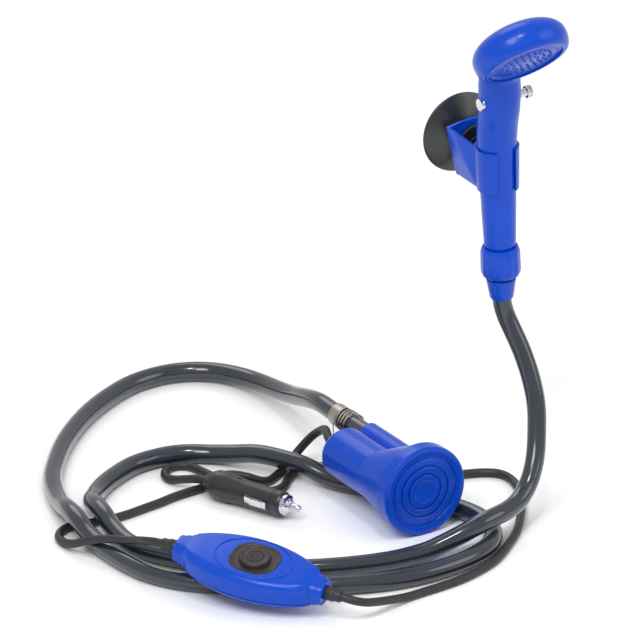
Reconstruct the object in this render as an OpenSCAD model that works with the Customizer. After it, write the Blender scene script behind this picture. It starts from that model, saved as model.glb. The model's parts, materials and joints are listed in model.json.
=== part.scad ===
// Twelve-volt camp shower pump: handset in a suction holder, submersible
// pump, in-line switch and a plug for a vehicle socket, on one hose and
// two cords. The origin is the middle of the suction cup's rim, +Y points
// into the wall that the cup sticks to and +Z points up.

/* [Hose and cords] */
// outside diameter of the water hose
hose_od = 15.5; // [14:0.1:15.6]
// outside diameter of both cords
cord_od = 7; // [5:0.1:7.2]
// height of the cup above the ground that the hose lies on
floor_drop = 296; // [296:1:300]

/* [Suction cup] */
// radius of the cup's rim
cup_r = 34; // [30:0.5:40]
// depth of the cup from its rim to its neck
cup_depth = 13; // [11:0.5:15]
// depth of the hollow under the cup, pressed flat
cup_hollow = 3.5; // [2.5:0.1:3.8]
// radius of the neck between cup and knob
cup_neck_r = 5; // [4:0.1:7]
// radius of the knob behind the handle
knob_r = 15.8; // [14:0.1:16.2]
// thickness of the knob
knob_t = 4; // [3:0.1:5]

/* [Holder] */
// distance of the holder's plate from the wall
plate_back = 19; // [17:0.5:20]
// thickness of the holder's plate
plate_t = 3; // [2:0.1:4]
// half the width of the plate at its top
plate_top_w = 23; // [20:0.5:26]
// half the width of the plate at its foot
plate_foot_w = 15; // [13:0.5:17]
// height of the plate's top above the cup's middle
plate_top = 18; // [15:0.5:22]
// depth of the plate's foot below the cup's middle
plate_foot = 26; // [22:0.5:30]
// thickness of the holder's side walls
wall_t = 2; // [1.5:0.1:3]
// distance from the wall to the handle's axis
handle_y = 60; // [58:0.5:64]
// top of the collar round the handle
collar_top = 12; // [8:0.5:16]
// height of the collar
collar_h = 37; // [30:0.5:42]
// wall of the collar
collar_t = 2; // [1.5:0.1:3]
// width of the collar's front slot, which lets the hose through
slot_w = 17; // [16:0.5:20]
// lean of the hung handset and its holder, in degrees
lean = 2; // [0:0.5:4]

/* [Handset] */
// radius of the handle at its lower end
handle_r = 13; // [12.6:0.1:13.6]
// radius of the handle where the neck begins
handle_top_r = 16.8; // [16:0.1:17.4]
// lower end of the handle
handle_foot = -76.5; // [-82:0.5:-74]
// height where the neck begins to bend forward
neck_z = 36; // [32:0.5:38]
// radius of the neck at the flow pin
neck_r = 17.2; // [16.6:0.1:18]
// radius of the spray head
head_r = 40.5; // [36:0.5:42]
// depth of the spray head behind its widest line
head_back = 19.5; // [16:0.5:22]
// depth of the spray head in front of its widest line
head_front = 12.5; // [10:0.5:16]
// height of the head's middle above the cup's middle
head_z = 114.5; // [112:0.5:118]
// distance of the head's middle in front of the handle's axis
head_y = 44; // [42:0.5:46]
// tilt of the spray below level, in degrees
spray_tilt = 44; // [40:1:50]
// radius of the waterway in the handle
water_r = 6; // [5:0.1:7]
// radius of the throat that the flow pin closes
throat_r = 2.4; // [2:0.1:2.5]
// radius of the spray plate
spray_r = 32; // [30:0.5:33]
// thickness of the spray plate
spray_t = 2.5; // [2:0.1:3]
// radius of one spray hole
hole_r = 0.8; // [0.6:0.1:1]

/* [Flow pin] */
// radius of the pin
pin_r = 3.5; // [2.7:0.05:3.6]
// radius of the pin's two caps
pin_cap_r = 5; // [3.8:0.1:5.2]
// length of each cap
pin_cap_l = 4.5; // [4:0.1:5.5]
// length of the pin between its caps
pin_len = 38.5; // [38:0.5:46]
// travel of the pin
pin_travel = 6; // [5:0.5:8]

/* [Union nut and sleeve] */
// radius of the union nut
nut_r = 16.2; // [15:0.1:17]
// length of the union nut
nut_len = 25.5; // [24:0.5:28]
// radius of the threaded spigot
spigot_r = 11.5; // [10.5:0.1:12]
// length of the threaded spigot
spigot_len = 13.5; // [11:0.5:15]
// upper radius of the sleeve over the hose
sleeve_r = 12.4; // [11.5:0.1:13]
// length of the sleeve
sleeve_len = 18.5; // [14:0.5:20]

/* [Pump] */
// radius of the strainer cap
cap_r = 38; // [36:0.5:38]
// length of the strainer cap
cap_len = 13; // [12:0.5:15]
// wall of the strainer cap
cap_t = 2.5; // [2:0.1:3]
// radius of the flare behind the cap
flare_r = 35.5; // [34:0.5:36]
// where the flare ends, behind the front face
flare_end = 49; // [46:0.5:54]
// radius of the motor housing
motor_house_r = 21; // [20.8:0.1:21.6]
// where the housing ends, behind the front face
house_end = 92; // [88:0.5:94]
// length of the rear cap
rear_len = 12; // [10:0.5:14]
// drop of the motor's axis below the strainer's axis
motor_drop = 1; // [0:0.5:2]
// offset of the motor's axis towards the left
motor_off = 12.5; // [11.5:0.5:13]
// rise of the outlet's axis above the strainer's axis
duct_rise = 4.9; // [4:0.1:6]
// offset of the outlet's axis towards the right
duct_off = 15.4; // [15:0.1:16.4]
// radius of the outlet duct
duct_r = 10.3; // [9.8:0.1:10.6]
// where the duct ends, behind the front face
duct_end = 106; // [104:0.5:110]
// radius of the motor
can_r = 17.9; // [16:0.1:18.4]
// length of the motor
can_len = 46; // [40:0.5:48]
// radius of the motor's shaft
shaft_r = 1.5; // [1:0.1:2]
// radius of the impeller
imp_r = 15; // [13:0.5:16]
// radius of the cable gland
gland_r = 6; // [5.5:0.1:6.5]
// length of the gland behind the rear cap
gland_len = 14; // [12:0.5:16]

/* [Hose clamp] */
// width of the steel band
band_w = 10; // [8:0.5:12]
// distance from the duct's end to the band
band_gap = 37; // [34:0.5:40]
// thickness of the band
band_t = 0.9; // [0.6:0.1:1.2]
// turns of the clamp spring
spring_turns = 4; // [3:1:4]
// diameter of the spring's wire
spring_wire = 1.3; // [1:0.1:1.6]
// length of the clamp spring
spring_len = 15; // [13:0.5:17]

/* [Switch] */
// half the length of the switch body between its collars
sw_half = 53.5; // [48:0.5:58]
// length of each collar
sw_collar = 12.5; // [11:0.5:15]
// half the width of the switch at its middle
sw_w = 29; // [26:0.5:30]
// half the width of the collars
sw_collar_w = 11.4; // [11:0.1:13]
// half the height of the switch
sw_h = 13.2; // [12.5:0.1:13.5]
// wall of the switch shells
sw_wall = 2.2; // [1.8:0.1:2.8]
// height of the seam, measured from the middle
sw_seam = -6; // [-7:0.5:-4]
// length of the oval pad
pad_l = 41; // [40:0.5:46]
// width of the oval pad
pad_w = 36.5; // [28:0.5:38]
// shift of the pad towards the left end
pad_x = -3; // [-6:0.5:10]
// radius of the button
button_r = 12.6; // [10.5:0.1:13]
// height of the button above the pad
button_rise = 4; // [2.5:0.1:4.5]
// travel of the button
button_travel = 1.5; // [1:0.1:2]
// length of each grommet outside the collar
grommet_len = 14; // [10:0.5:15]
// radius of the grommets
grommet_r = 5.2; // [4.8:0.1:6]

/* [Plug] */
// radius of the plug's barrel, for a vehicle socket
barrel_r = 10.3; // [10.1:0.05:10.5]
// radius of the grip hump
grip_r = 12.3; // [11.8:0.1:12.3]
// length of the two plug shells
shell_len = 76; // [72:0.5:80]
// wall of the plug's shells
plug_wall = 2.4; // [2:0.1:3]
// radius of the chrome ring nut
ring_r = 8.6; // [8:0.1:9.4]
// length of the ring nut in front of the barrel
ring_len = 7; // [6:0.5:8]
// radius of the tip contact
tip_r = 3; // [2.5:0.1:3.4]
// length of the tip in front of the ring nut
tip_len = 9; // [8:0.5:10]
// travel of the tip
tip_travel = 2.5; // [2:0.1:3]
// length of each side contact
side_len = 22; // [18:0.5:24]
// width of each side contact
side_w = 7; // [6:0.5:8]
// height of the side contacts above the barrel
side_rise = 1.2; // [1:0.1:1.4]
// diameter of the fuse
fuse_d = 6.3; // [6:0.1:6.6]
// length of the fuse
fuse_len = 30; // [25:1:32]

/* [Hidden] */

$fn = 64;
gap = 0.3;
slip = 0.05;
cut = 1;
thin = 0.5;
blue = [0.12, 0.35, 0.8];
black = [0.1, 0.1, 0.11];
rubber = [0.14, 0.14, 0.15];
slate = [0.24, 0.26, 0.3];
steel = [0.6, 0.58, 0.55];
chrome = [0.86, 0.86, 0.88];
brass = [0.78, 0.62, 0.3];
pad_black = [0.16, 0.14, 0.13];
floor_z = -floor_drop;

// points turned about an axis and carried into the part's frame
function about_x(a, v) = [v[0], v[1] * cos(a) - v[2] * sin(a), v[1] * sin(a) + v[2] * cos(a)];
function about_y(a, v) = [v[0] * cos(a) + v[2] * sin(a), v[1], v[2] * cos(a) - v[0] * sin(a)];
function about_z(a, v) = [v[0] * cos(a) - v[1] * sin(a), v[0] * sin(a) + v[1] * cos(a), v[2]];
function unit(v) = v / norm(v);

// the pump lies on its side, the strainer facing forward
pump_at = [-88.5, -98.5, floor_z + 38];
pump_turn = -87;
function pump_dir(v) = about_z(pump_turn, about_y(-90, v));
function pump_pt(v) = pump_at + pump_dir(v);
module at_pump() {
    translate(pump_at) rotate([0, 0, pump_turn]) rotate([0, -90, 0]) children();
}

// the switch leans against a strand of the hose
switch_at = [-272, -139, floor_z + 28];
switch_turn = -55.6;
switch_nose = 5.5;
switch_roll = 14;
function switch_dir(v) = about_z(switch_turn, about_y(switch_nose, about_x(switch_roll, v)));
function switch_pt(v) = switch_at + switch_dir(v);
module at_switch() {
    translate(switch_at) rotate([0, 0, switch_turn]) rotate([0, switch_nose, 0])
        rotate([switch_roll, 0, 0]) children();
}

// the plug lies on the ground
plug_at = [-201.7, 54.1, floor_z + 12.3];
plug_turn = -65.7;
function plug_dir(v) = about_z(plug_turn, v);
module at_plug() {
    translate(plug_at) rotate([0, 0, plug_turn]) children();
}

// the handset hangs in the holder
module hung() {
    rotate([0, -lean, 0]) children();
}

// points of the routes, each x, y and height above the ground
hose_points = [[5, -60.7, 165.5], [7, -63, 156], [10, -68, 145], [13.5, -77, 129], [15.5, -87, 110], [15, -96.5, 90],
    [10, -106, 69], [4, -114, 53], [-4, -121, 41], [-12, -126, 33], [-22, -132, 28],
    [-36, -139, 26], [-52, -145, 26], [-68, -148, 24], [-83, -148, 19.5], [-97, -146, 14.5],
    [-112, -144, 10], [-128, -142, 8], [-147, -140.5, 7.75], [-172, -135, 7.75],
    [-201, -125, 7.75], [-228, -111, 7.75], [-252, -93, 7.75], [-275, -72, 7.75],
    [-292, -50, 7.75], [-304, -30, 7.75], [-310, -6, 8], [-310, 18, 11], [-308, 36, 15.5],
    [-305, 52, 15.5], [-300, 68, 12], [-290, 82, 8.5], [-275, 96, 7.75], [-256, 108, 7.75],
    [-234, 118, 7.75], [-212, 121, 7.75], [-190, 118, 7.75], [-171, 107, 7.75], [-157, 92, 10.5],
    [-145, 73, 15.5], [-133, 54, 15.8], [-122, 35, 14.5], [-112, 19, 9.5], [-103, 5, 7.75],
    [-84, -23, 7.75], [-66, -51, 7.75], [-52, -75, 7.75], [-44, -96, 7.75], [-42, -114, 7.75],
    [-46, -132, 7.75], [-56, -149, 7.75], [-71, -161, 7.75], [-93, -170, 7.75],
    [-118, -175, 7.75], [-143, -176, 7.75], [-166, -173, 7.75], [-190, -166, 7.75],
    [-218, -155, 7.75], [-245, -140, 7.75], [-270, -124, 7.75], [-293, -106, 7.75],
    [-311, -87, 7.75], [-324, -64, 7.75], [-330, -38, 7.75], [-332, -9, 7.75], [-332.5, 17, 10.5],
    [-331, 38, 15.5], [-328, 56, 15.5], [-322, 78, 10.5], [-313, 104, 7.75], [-301, 130, 7.75],
    [-284, 154, 7.75], [-265, 177, 7.75], [-243, 199, 7.75], [-216, 221, 7.75],
    [-187, 239, 7.75], [-157, 252, 7.75], [-128, 255, 7.75], [-105, 249, 8], [-88, 236, 8.5],
    [-77, 216, 10], [-72, 191, 13], [-72, 164, 18], [-74, 137, 25], [-78, 108, 35],
    [-81, 83, 42], [-81.2, 58, 42.9], [-80.2, 38, 42.9]];
plug_cord_points = [[-206, 63, 11.5], [-211, 74, 8], [-216, 85, 4.5], [-217, 94, 3.5],
    [-213, 102, 3.5], [-206, 107, 3.5], [-198, 107, 3.5], [-191, 102, 3.5], [-188, 93, 3.5],
    [-185, 80, 3.5], [-181, 65, 3.5], [-177, 52, 3.5], [-172, 41, 3.5], [-165, 32, 3.5],
    [-155, 28, 3.5], [-145, 31, 3.5], [-136, 40, 3.5], [-125, 49, 3.5], [-113, 55, 3.5], [-102, 51, 3.5], [-93, 42, 3.5],
    [-81, 27, 3.5], [-65, 11, 3.5], [-45, -4, 3.5], [-23, -17, 3.5], [-7, -21, 3.5],
    [7, -26, 3.5], [17, -34, 3.5], [20, -46, 3.5], [18, -60, 3.5], [13, -75, 3.5],
    [4, -92, 3.5], [-7, -110, 3.5], [-25, -135, 3.5], [-45, -155, 3.5], [-66, -173, 3.5],
    [-87, -184, 3.5], [-110, -192, 3.5], [-133, -196, 3.5], [-150, -198, 3.5],
    [-166, -201, 4.5], [-183, -206, 8], [-199, -212, 12.5], [-211, -215, 16], [-219, -212, 18]];
pump_cord_points = [[-321, -64, 34.5], [-323, -54, 31.5], [-323, -42, 27], [-325, -30, 22.5],
    [-332, -19, 21], [-339, -9, 18.5], [-345, 2, 13.5], [-349, 13, 8], [-350.5, 25, 4.5],
    [-349, 36, 3.5], [-343, 45, 3.5], [-334, 50, 3.5], [-322, 50, 3.5], [-308, 48, 3.5],
    [-292, 47, 3.5], [-278, 48, 3.5], [-262, 51, 3.5], [-246, 54, 3.5], [-230, 58, 3.5],
    [-216, 60, 3.5], [-205, 61, 3.5], [-196, 62, 5], [-188, 61, 9.5], [-181, 58, 11.5],
    [-174, 53, 11.5], [-167, 48, 10], [-160, 45, 7], [-152, 45, 4.5], [-144, 49, 3.5],
    [-135, 55, 3.5], [-126, 61, 3.5], [-117, 66, 7], [-108, 66, 15.5],
    [-102, 60, 26], [-99, 52, 33.5], [-99, 44, 38], [-102, 36, 39], [-105, 28, 38.5]];
function lifted(list) = [for (p = list) [p[0], p[1], p[2] + floor_z]];

// a tube swept along points, one ring at each, square to given ends
function way(p, i, a, b) = i == 0 ? a : i == len(p) - 1 ? b
    : unit(unit(p[i + 1] - p[i]) + unit(p[i] - p[i - 1]));
function sides_of(p, a, b) = [for (i = 0, u = unit(cross(a, [0.3, 0.2, 1])); i < len(p);
    i = i + 1, u = i < len(p) ? unit(u - (u * way(p, i, a, b)) * way(p, i, a, b)) : u) u];
module tube(p, a, b, r, n) {
    u = sides_of(p, a, b);
    pts = [for (i = [0:len(p) - 1], k = [0:n - 1])
        p[i] + r * cos(360 * k / n) * u[i] + r * sin(360 * k / n) * cross(way(p, i, a, b), u[i])];
    last = (len(p) - 1) * n;
    polyhedron(points = pts, faces = concat(
        [[for (k = [0:n - 1]) k]],
        [for (i = [0:len(p) - 2], k = [0:n - 1]) [i * n + k, (i + 1) * n + k, i * n + (k + 1) % n]],
        [for (i = [0:len(p) - 2], k = [0:n - 1])
            [i * n + (k + 1) % n, (i + 1) * n + k, (i + 1) * n + (k + 1) % n]],
        [[for (k = [n - 1:-1:0]) last + k]]));
}

// suction cup, its moulded stud and knob
knob_front = plate_back + plate_t + 1 + knob_t;
module suction_cup() {
    color(rubber) rotate([90, 0, 0]) rotate_extrude() polygon([
        [0, cup_hollow], [cup_r * 0.6, cup_hollow * 0.75], [cup_r - 3, 0.8], [cup_r - 1, 0],
        [cup_r, 0], [cup_r, 1.2], [cup_r - 4, 3], [cup_r * 0.66, cup_depth * 0.42],
        [cup_r * 0.42, cup_depth * 0.7], [cup_neck_r + 4, cup_depth], [0, cup_depth]]);
}
module cup_stud() {
    color(rubber) rotate([90, 0, 0]) rotate_extrude() polygon([
        [0, cup_depth], [cup_neck_r + 2, cup_depth], [cup_neck_r, cup_depth + 2],
        [cup_neck_r, knob_front - knob_t], [knob_r - 1, knob_front - knob_t],
        [knob_r, knob_front - knob_t + 1], [knob_r, knob_front - 1], [knob_r - 1, knob_front],
        [0, knob_front]]);
}

// holder: plate behind the knob, two side walls and a collar for the handle
function handle_rad(z) = handle_r + (handle_top_r - handle_r) * (z - handle_foot) / (neck_z - handle_foot);
collar_foot = collar_top - collar_h;
collar_in_top = handle_rad(collar_top) + gap;
collar_in_foot = handle_rad(collar_foot) + gap;
plate_front = plate_back + plate_t;
wall_end_y = handle_y - 8;
wall_end_x = collar_in_foot + 0.2;
module side_wall(side) {
    ball = wall_t / 2;
    hull() for (p = [[plate_top_w - ball, plate_front - ball, plate_top - ball],
        [plate_top_w - ball - 1, plate_front + 8, plate_top - ball],
        [wall_end_x - ball, wall_end_y, collar_top - ball - 1],
        [plate_foot_w - ball, plate_front - ball, ball - plate_foot],
        [wall_end_x - ball, wall_end_y, ball + collar_foot]])
        translate([side * p[0], -p[1], p[2]]) sphere(r = ball, $fn = 16);
}
module holder_bracket() {
    color(blue) hung() difference() {
        union() {
            translate([0, -plate_back, 0]) rotate([90, 0, 0]) linear_extrude(plate_t) polygon([
                [-plate_foot_w, -plate_foot], [plate_foot_w, -plate_foot],
                [plate_top_w, plate_top - 0.5], [plate_top_w * 0.5, plate_top + 1.5],
                [0, plate_top + 2], [-plate_top_w * 0.5, plate_top + 1.5],
                [-plate_top_w, plate_top - 0.5]]);
            side_wall(1);
            side_wall(-1);
            translate([0, -handle_y, collar_foot])
                cylinder(h = collar_h, r1 = collar_in_foot + collar_t, r2 = collar_in_top + collar_t);
            translate([0, -plate_front - (handle_y - plate_front) / 2, collar_foot + wall_t / 2])
                cube([2 * plate_foot_w - wall_t, handle_y - plate_front, wall_t], center = true);
        }
        translate([0, -handle_y, collar_foot - cut]) cylinder(h = collar_h + 2 * cut,
            r1 = collar_in_foot - cut * (collar_in_top - collar_in_foot) / collar_h,
            r2 = collar_in_top + cut * (collar_in_top - collar_in_foot) / collar_h);
        translate([-slot_w / 2, -handle_y - 2 * handle_r, collar_foot - cut])
            cube([slot_w, 2 * handle_r, collar_h + 2 * cut]);
        rotate([90, 0, 0]) cylinder(h = plate_front + cut, r = cup_neck_r + gap);
        translate([-cup_neck_r - gap, -plate_front - cut, -plate_foot - cut])
            cube([2 * (cup_neck_r + gap), plate_t + 2 * cut, plate_foot + cut]);
    }
}

// handset: handle, bent neck and round spray head
pin_y = handle_y + 8;
pin_z = 56;
head_pt = [0, -handle_y - head_y, head_z];
seat_z = head_front - spray_t - 1.5;
seal_t = 1;
plate_r = spray_r;
function bulge(t, r, d) = [r * pow(abs(cos(t)), 0.8), d * pow(abs(sin(t)), 0.9)];
head_profile = concat([for (t = [90:-10:10]) let (q = bulge(t, head_r, head_back)) [t == 90 ? 0 : q[0], -q[1]]],
    [[head_r, 0], [head_r - 0.6, head_front * 0.4], [head_r - 2.4, head_front * 0.75],
    [head_r - 5, head_front], [0, head_front]]);
module at_head() {
    translate(head_pt) rotate([90 + spray_tilt, 0, 0]) children();
}
bend_z = neck_z - 10;
neck_off = pin_y - handle_y;
neck_tilt = atan2(neck_off, pin_z - bend_z);
module handset_shell() {
    $fn = 40;
    color(blue) hung() difference() {
        union() {
            translate([0, -handle_y, handle_foot])
                cylinder(h = bend_z - handle_foot, r1 = handle_r, r2 = handle_rad(bend_z));
            translate([0, -handle_y, handle_foot - spigot_len]) cylinder(h = spigot_len + thin, r = spigot_r);
            translate([0, -handle_y, bend_z]) sphere(r = handle_rad(bend_z) + 0.1);
            translate([0, -handle_y, bend_z]) rotate([neck_tilt, 0, 0])
                cylinder(h = norm([neck_off, pin_z - bend_z]), r1 = handle_rad(bend_z), r2 = neck_r);
            translate([0, -pin_y, pin_z]) sphere(r = neck_r + 0.1);
            translate([0, -pin_y, pin_z]) cylinder(h = head_z - 36 - pin_z, r = neck_r);
            translate([0, -pin_y, head_z - 36]) sphere(r = neck_r + 0.1);
            translate([0, -pin_y, head_z - 36]) rotate([38, 0, 0]) cylinder(h = 32, r1 = neck_r - 0.3, r2 = neck_r - 5);
            at_head() rotate_extrude() polygon(head_profile);
        }
        translate([0, -handle_y, handle_foot - spigot_len - cut])
            cylinder(h = 35 - handle_foot + spigot_len + cut, r = water_r);
        translate([0, -handle_y, 35]) sphere(r = water_r);
        translate([0, -handle_y, 35]) rotate([21.8, 0, 0]) {
            cylinder(h = 14, r = water_r);
            cylinder(h = 68, r = throat_r);
            translate([0, 0, 32]) cylinder(h = 36, r = water_r);
        }
        at_head() {
            translate([0, 0, -8]) cylinder(h = head_front + 9, r = plate_r - 3);
            translate([0, 0, seat_z - seal_t]) cylinder(h = head_front, r = plate_r + slip, $fn = 128);
        }
        translate([-neck_r - 10, -pin_y, pin_z]) rotate([0, 90, 0])
            cylinder(h = 2 * neck_r + 20, r = pin_r + slip, $fn = 64);
        translate([-neck_r - 10, -pin_y, pin_z]) rotate([0, 90, 0])
            cylinder(h = 10 + pin_cap_l - 2, r = pin_cap_r + gap);
    }
}
module spray_plate() {
    color(blue) hung() at_head() difference() {
        union() {
            translate([0, 0, seat_z]) cylinder(h = spray_t, r = plate_r);
            translate([0, 0, seat_z]) cylinder(h = spray_t + 0.8, r = plate_r * 0.75);
        }
        for (ring = [0:3], k = [0:max(ring * 6, 1) - 1])
            rotate(360 * k / max(ring * 6, 1)) translate([ring * plate_r * 0.21, 0, seat_z - cut])
                cylinder(h = spray_t + 3, r = hole_r, $fn = 16);
    }
}
module spray_plate_seal() {
    color(rubber) hung() at_head() translate([0, 0, seat_z - seal_t]) difference() {
        cylinder(h = seal_t, r = plate_r);
        translate([0, 0, -cut]) cylinder(h = seal_t + 2 * cut, r = plate_r - 2);
    }
}

// flow pin across the neck, pushed from either side
pin_left = -neck_r - pin_cap_l + 2.4;
ring_place = [-6.5, 13];
ring_w = 1.6;
module pin_cap() {
    difference() {
        cylinder(h = pin_cap_l, r = pin_cap_r);
        translate([0, 0, pin_cap_l * 0.45]) difference() {
            cylinder(h = 0.8, r = pin_cap_r + cut);
            translate([0, 0, -cut]) cylinder(h = 3, r = pin_cap_r - 0.6);
        }
    }
}
module flow_pin() {
    color(chrome) hung() translate([0, -pin_y, pin_z]) rotate([0, 90, 0]) {
        difference() {
            translate([0, 0, pin_left + pin_cap_l - thin]) cylinder(h = pin_len + 2 * thin, r = pin_r);
            for (x = ring_place) translate([0, 0, x]) difference() {
                cylinder(h = ring_w, r = pin_r + cut);
                translate([0, 0, -cut]) cylinder(h = ring_w + 2 * cut, r = pin_r - 0.8);
            }
            translate([0, 0, -throat_r - 0.6]) difference() {
                cylinder(h = 2 * throat_r + 1.2, r = pin_r + cut);
                translate([0, 0, -cut]) cylinder(h = 2 * throat_r + 4, r = pin_r - 1.6);
            }
        }
        translate([0, 0, pin_left]) pin_cap();
        translate([0, 0, pin_left + pin_cap_l + pin_len]) pin_cap();
    }
}
module flow_pin_orings() {
    color(rubber) hung() translate([0, -pin_y, pin_z]) rotate([0, 90, 0])
        for (x = ring_place) translate([0, 0, x + 0.05]) difference() {
            cylinder(h = ring_w - 0.1, r = pin_r + 0.02);
            translate([0, 0, -cut]) cylinder(h = ring_w + 2 * cut, r = pin_r - 0.8);
        }
}

// union nut, hose tail, washer and sleeve under the handle
spigot_end = handle_foot - spigot_len;
washer_t = 1.5;
flange_t = 4;
flange_end = spigot_end - washer_t - flange_t;
nut_top = handle_foot - 1;
nut_end = nut_top - nut_len;
stem_r = 6.8;
tail_bore = 4;
sleeve_top = nut_end - 2;
sleeve_end = sleeve_top - sleeve_len;
module below_handle() {
    hung() translate([0, -handle_y, 0]) children();
}
module hose_tail() {
    color(black) below_handle() difference() {
        union() {
            translate([0, 0, flange_end]) cylinder(h = flange_t, r = spigot_r - thin);
            translate([0, 0, sleeve_top]) cylinder(h = flange_end - sleeve_top + slip, r = stem_r);
            translate([0, 0, sleeve_end]) cylinder(h = sleeve_len + thin, r = stem_r - 1.8);
        }
        translate([0, 0, sleeve_end - cut]) cylinder(h = flange_end - sleeve_end + flange_t + 2 * cut, r = tail_bore);
    }
}
module nut_washer() {
    color(rubber) below_handle() translate([0, 0, spigot_end - washer_t]) difference() {
        cylinder(h = washer_t, r = spigot_r - thin);
        translate([0, 0, -cut]) cylinder(h = washer_t + 2 * cut, r = water_r);
    }
}
module union_nut() {
    color(blue) below_handle() difference() {
        intersection() {
            rotate_extrude() polygon([[0, nut_end], [nut_r - 2.5, nut_end], [nut_r, nut_end + 4],
                [nut_r - 0.4, nut_top - 3], [nut_r - 1.7, nut_top], [0, nut_top]]);
            translate([0, 0, nut_end]) cylinder(h = nut_len, r = nut_r * 1.02, $fn = 12);
        }
        translate([0, 0, flange_end - gap]) cylinder(h = nut_top - flange_end + gap + cut, r = spigot_r + 2 * gap);
        translate([0, 0, nut_end - cut]) cylinder(h = nut_len, r = stem_r + gap);
    }
}
module hose_sleeve() {
    color(blue) below_handle() difference() {
        rotate_extrude() polygon([[0, sleeve_end], [sleeve_r - 3.8, sleeve_end], [sleeve_r - 2.2, sleeve_end + 2],
            [sleeve_r, sleeve_top - 1], [sleeve_r - 0.8, sleeve_top], [0, sleeve_top]]);
        translate([0, 0, sleeve_end - cut]) cylinder(h = sleeve_len + 2 * cut, r = stem_r - 1.8);
    }
}

// hose, from under the sleeve to the pump's outlet
hung_down = about_y(-lean, [0, 0, -1]);
hose_start = about_y(-lean, [0, -handle_y, sleeve_end - gap]);
hose_stop = pump_pt([duct_rise, duct_off, duct_end]);
hose_route = concat([hose_start], lifted(hose_points), [hose_stop]);
module hose() {
    color(slate) tube(hose_route, hung_down, pump_dir([0, 0, -1]), hose_od / 2, 12);
}

// steel band, clamp spring and tie wire on the hose behind the duct
band_in = hose_od / 2 + 0.5;
coil_r = band_in + spring_wire / 2 + 0.2;
band_at = duct_end + band_gap;
coil_at = band_at - gap - spring_wire / 2 - spring_len;
module at_duct() {
    at_pump() translate([duct_rise, duct_off, 0]) children();
}
module hose_clamp_band() {
    color(steel) at_duct() translate([0, 0, band_at]) difference() {
        union() {
            cylinder(h = band_w, r = band_in + band_t);
            translate([-band_in - band_t - 1.5, -2, 0]) cube([3, 4, band_w]);
        }
        translate([0, 0, -cut]) cylinder(h = band_w + 2 * cut, r = band_in);
    }
}
function coil_pt(i) = let (t = i * 360 / 8) [coil_r * cos(t), coil_r * sin(t), coil_at + spring_len * i / (8 * spring_turns)];
coil_n = 8 * spring_turns;
function coil_way(i) = let (t = i * 360 / 8) unit([-sin(t), cos(t), spring_len / spring_turns / (2 * PI * coil_r)]);
least = min([for (i = [0:coil_n - 8], j = [i + 6:min(i + 10, coil_n)]) norm(coil_pt(i) - coil_pt(j))]) - spring_wire;
echo("least gap of the clamp spring to itself", least);
module clamp_spring() {
    pts = [for (i = [0:coil_n]) coil_pt(i)];
    n = 6;
    ring = [for (i = [0:coil_n], k = [0:n - 1]) let (o = unit([pts[i][0], pts[i][1], 0]))
        pts[i] + spring_wire / 2 * (cos(360 * k / n) * o + sin(360 * k / n) * cross(coil_way(i), o))];
    color(steel) at_duct() polyhedron(points = ring, faces = concat(
        [[for (k = [0:n - 1]) k]],
        [for (i = [0:coil_n - 1], k = [0:n - 1]) [i * n + k, (i + 1) * n + k, i * n + (k + 1) % n]],
        [for (i = [0:coil_n - 1], k = [0:n - 1])
            [i * n + (k + 1) % n, (i + 1) * n + k, (i + 1) * n + (k + 1) % n]],
        [[for (k = [n - 1:-1:0]) coil_n * n + k]]));
}
wire_r = 0.5;
wire_ring = cord_od / 2 + gap + wire_r;
wire_at = house_end + rear_len + gland_len - 3;
module tie_wire() {
    color(steel) at_pump() {
        translate([-motor_drop, -motor_off, wire_at]) difference() {
            cylinder(h = 2 * wire_r, r = gland_r + 0.05 + 2 * wire_r);
            translate([0, 0, -cut]) cylinder(h = 4, r = gland_r + 0.05);
        }
        hull() {
            translate([-motor_drop + gland_r + wire_r, -motor_off, wire_at + wire_r]) sphere(r = wire_r, $fn = 12);
            translate([duct_rise - 2, duct_off - band_in - band_t - wire_r - 0.1, band_at + 1]) sphere(r = wire_r, $fn = 12);
        }
    }
}

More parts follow.
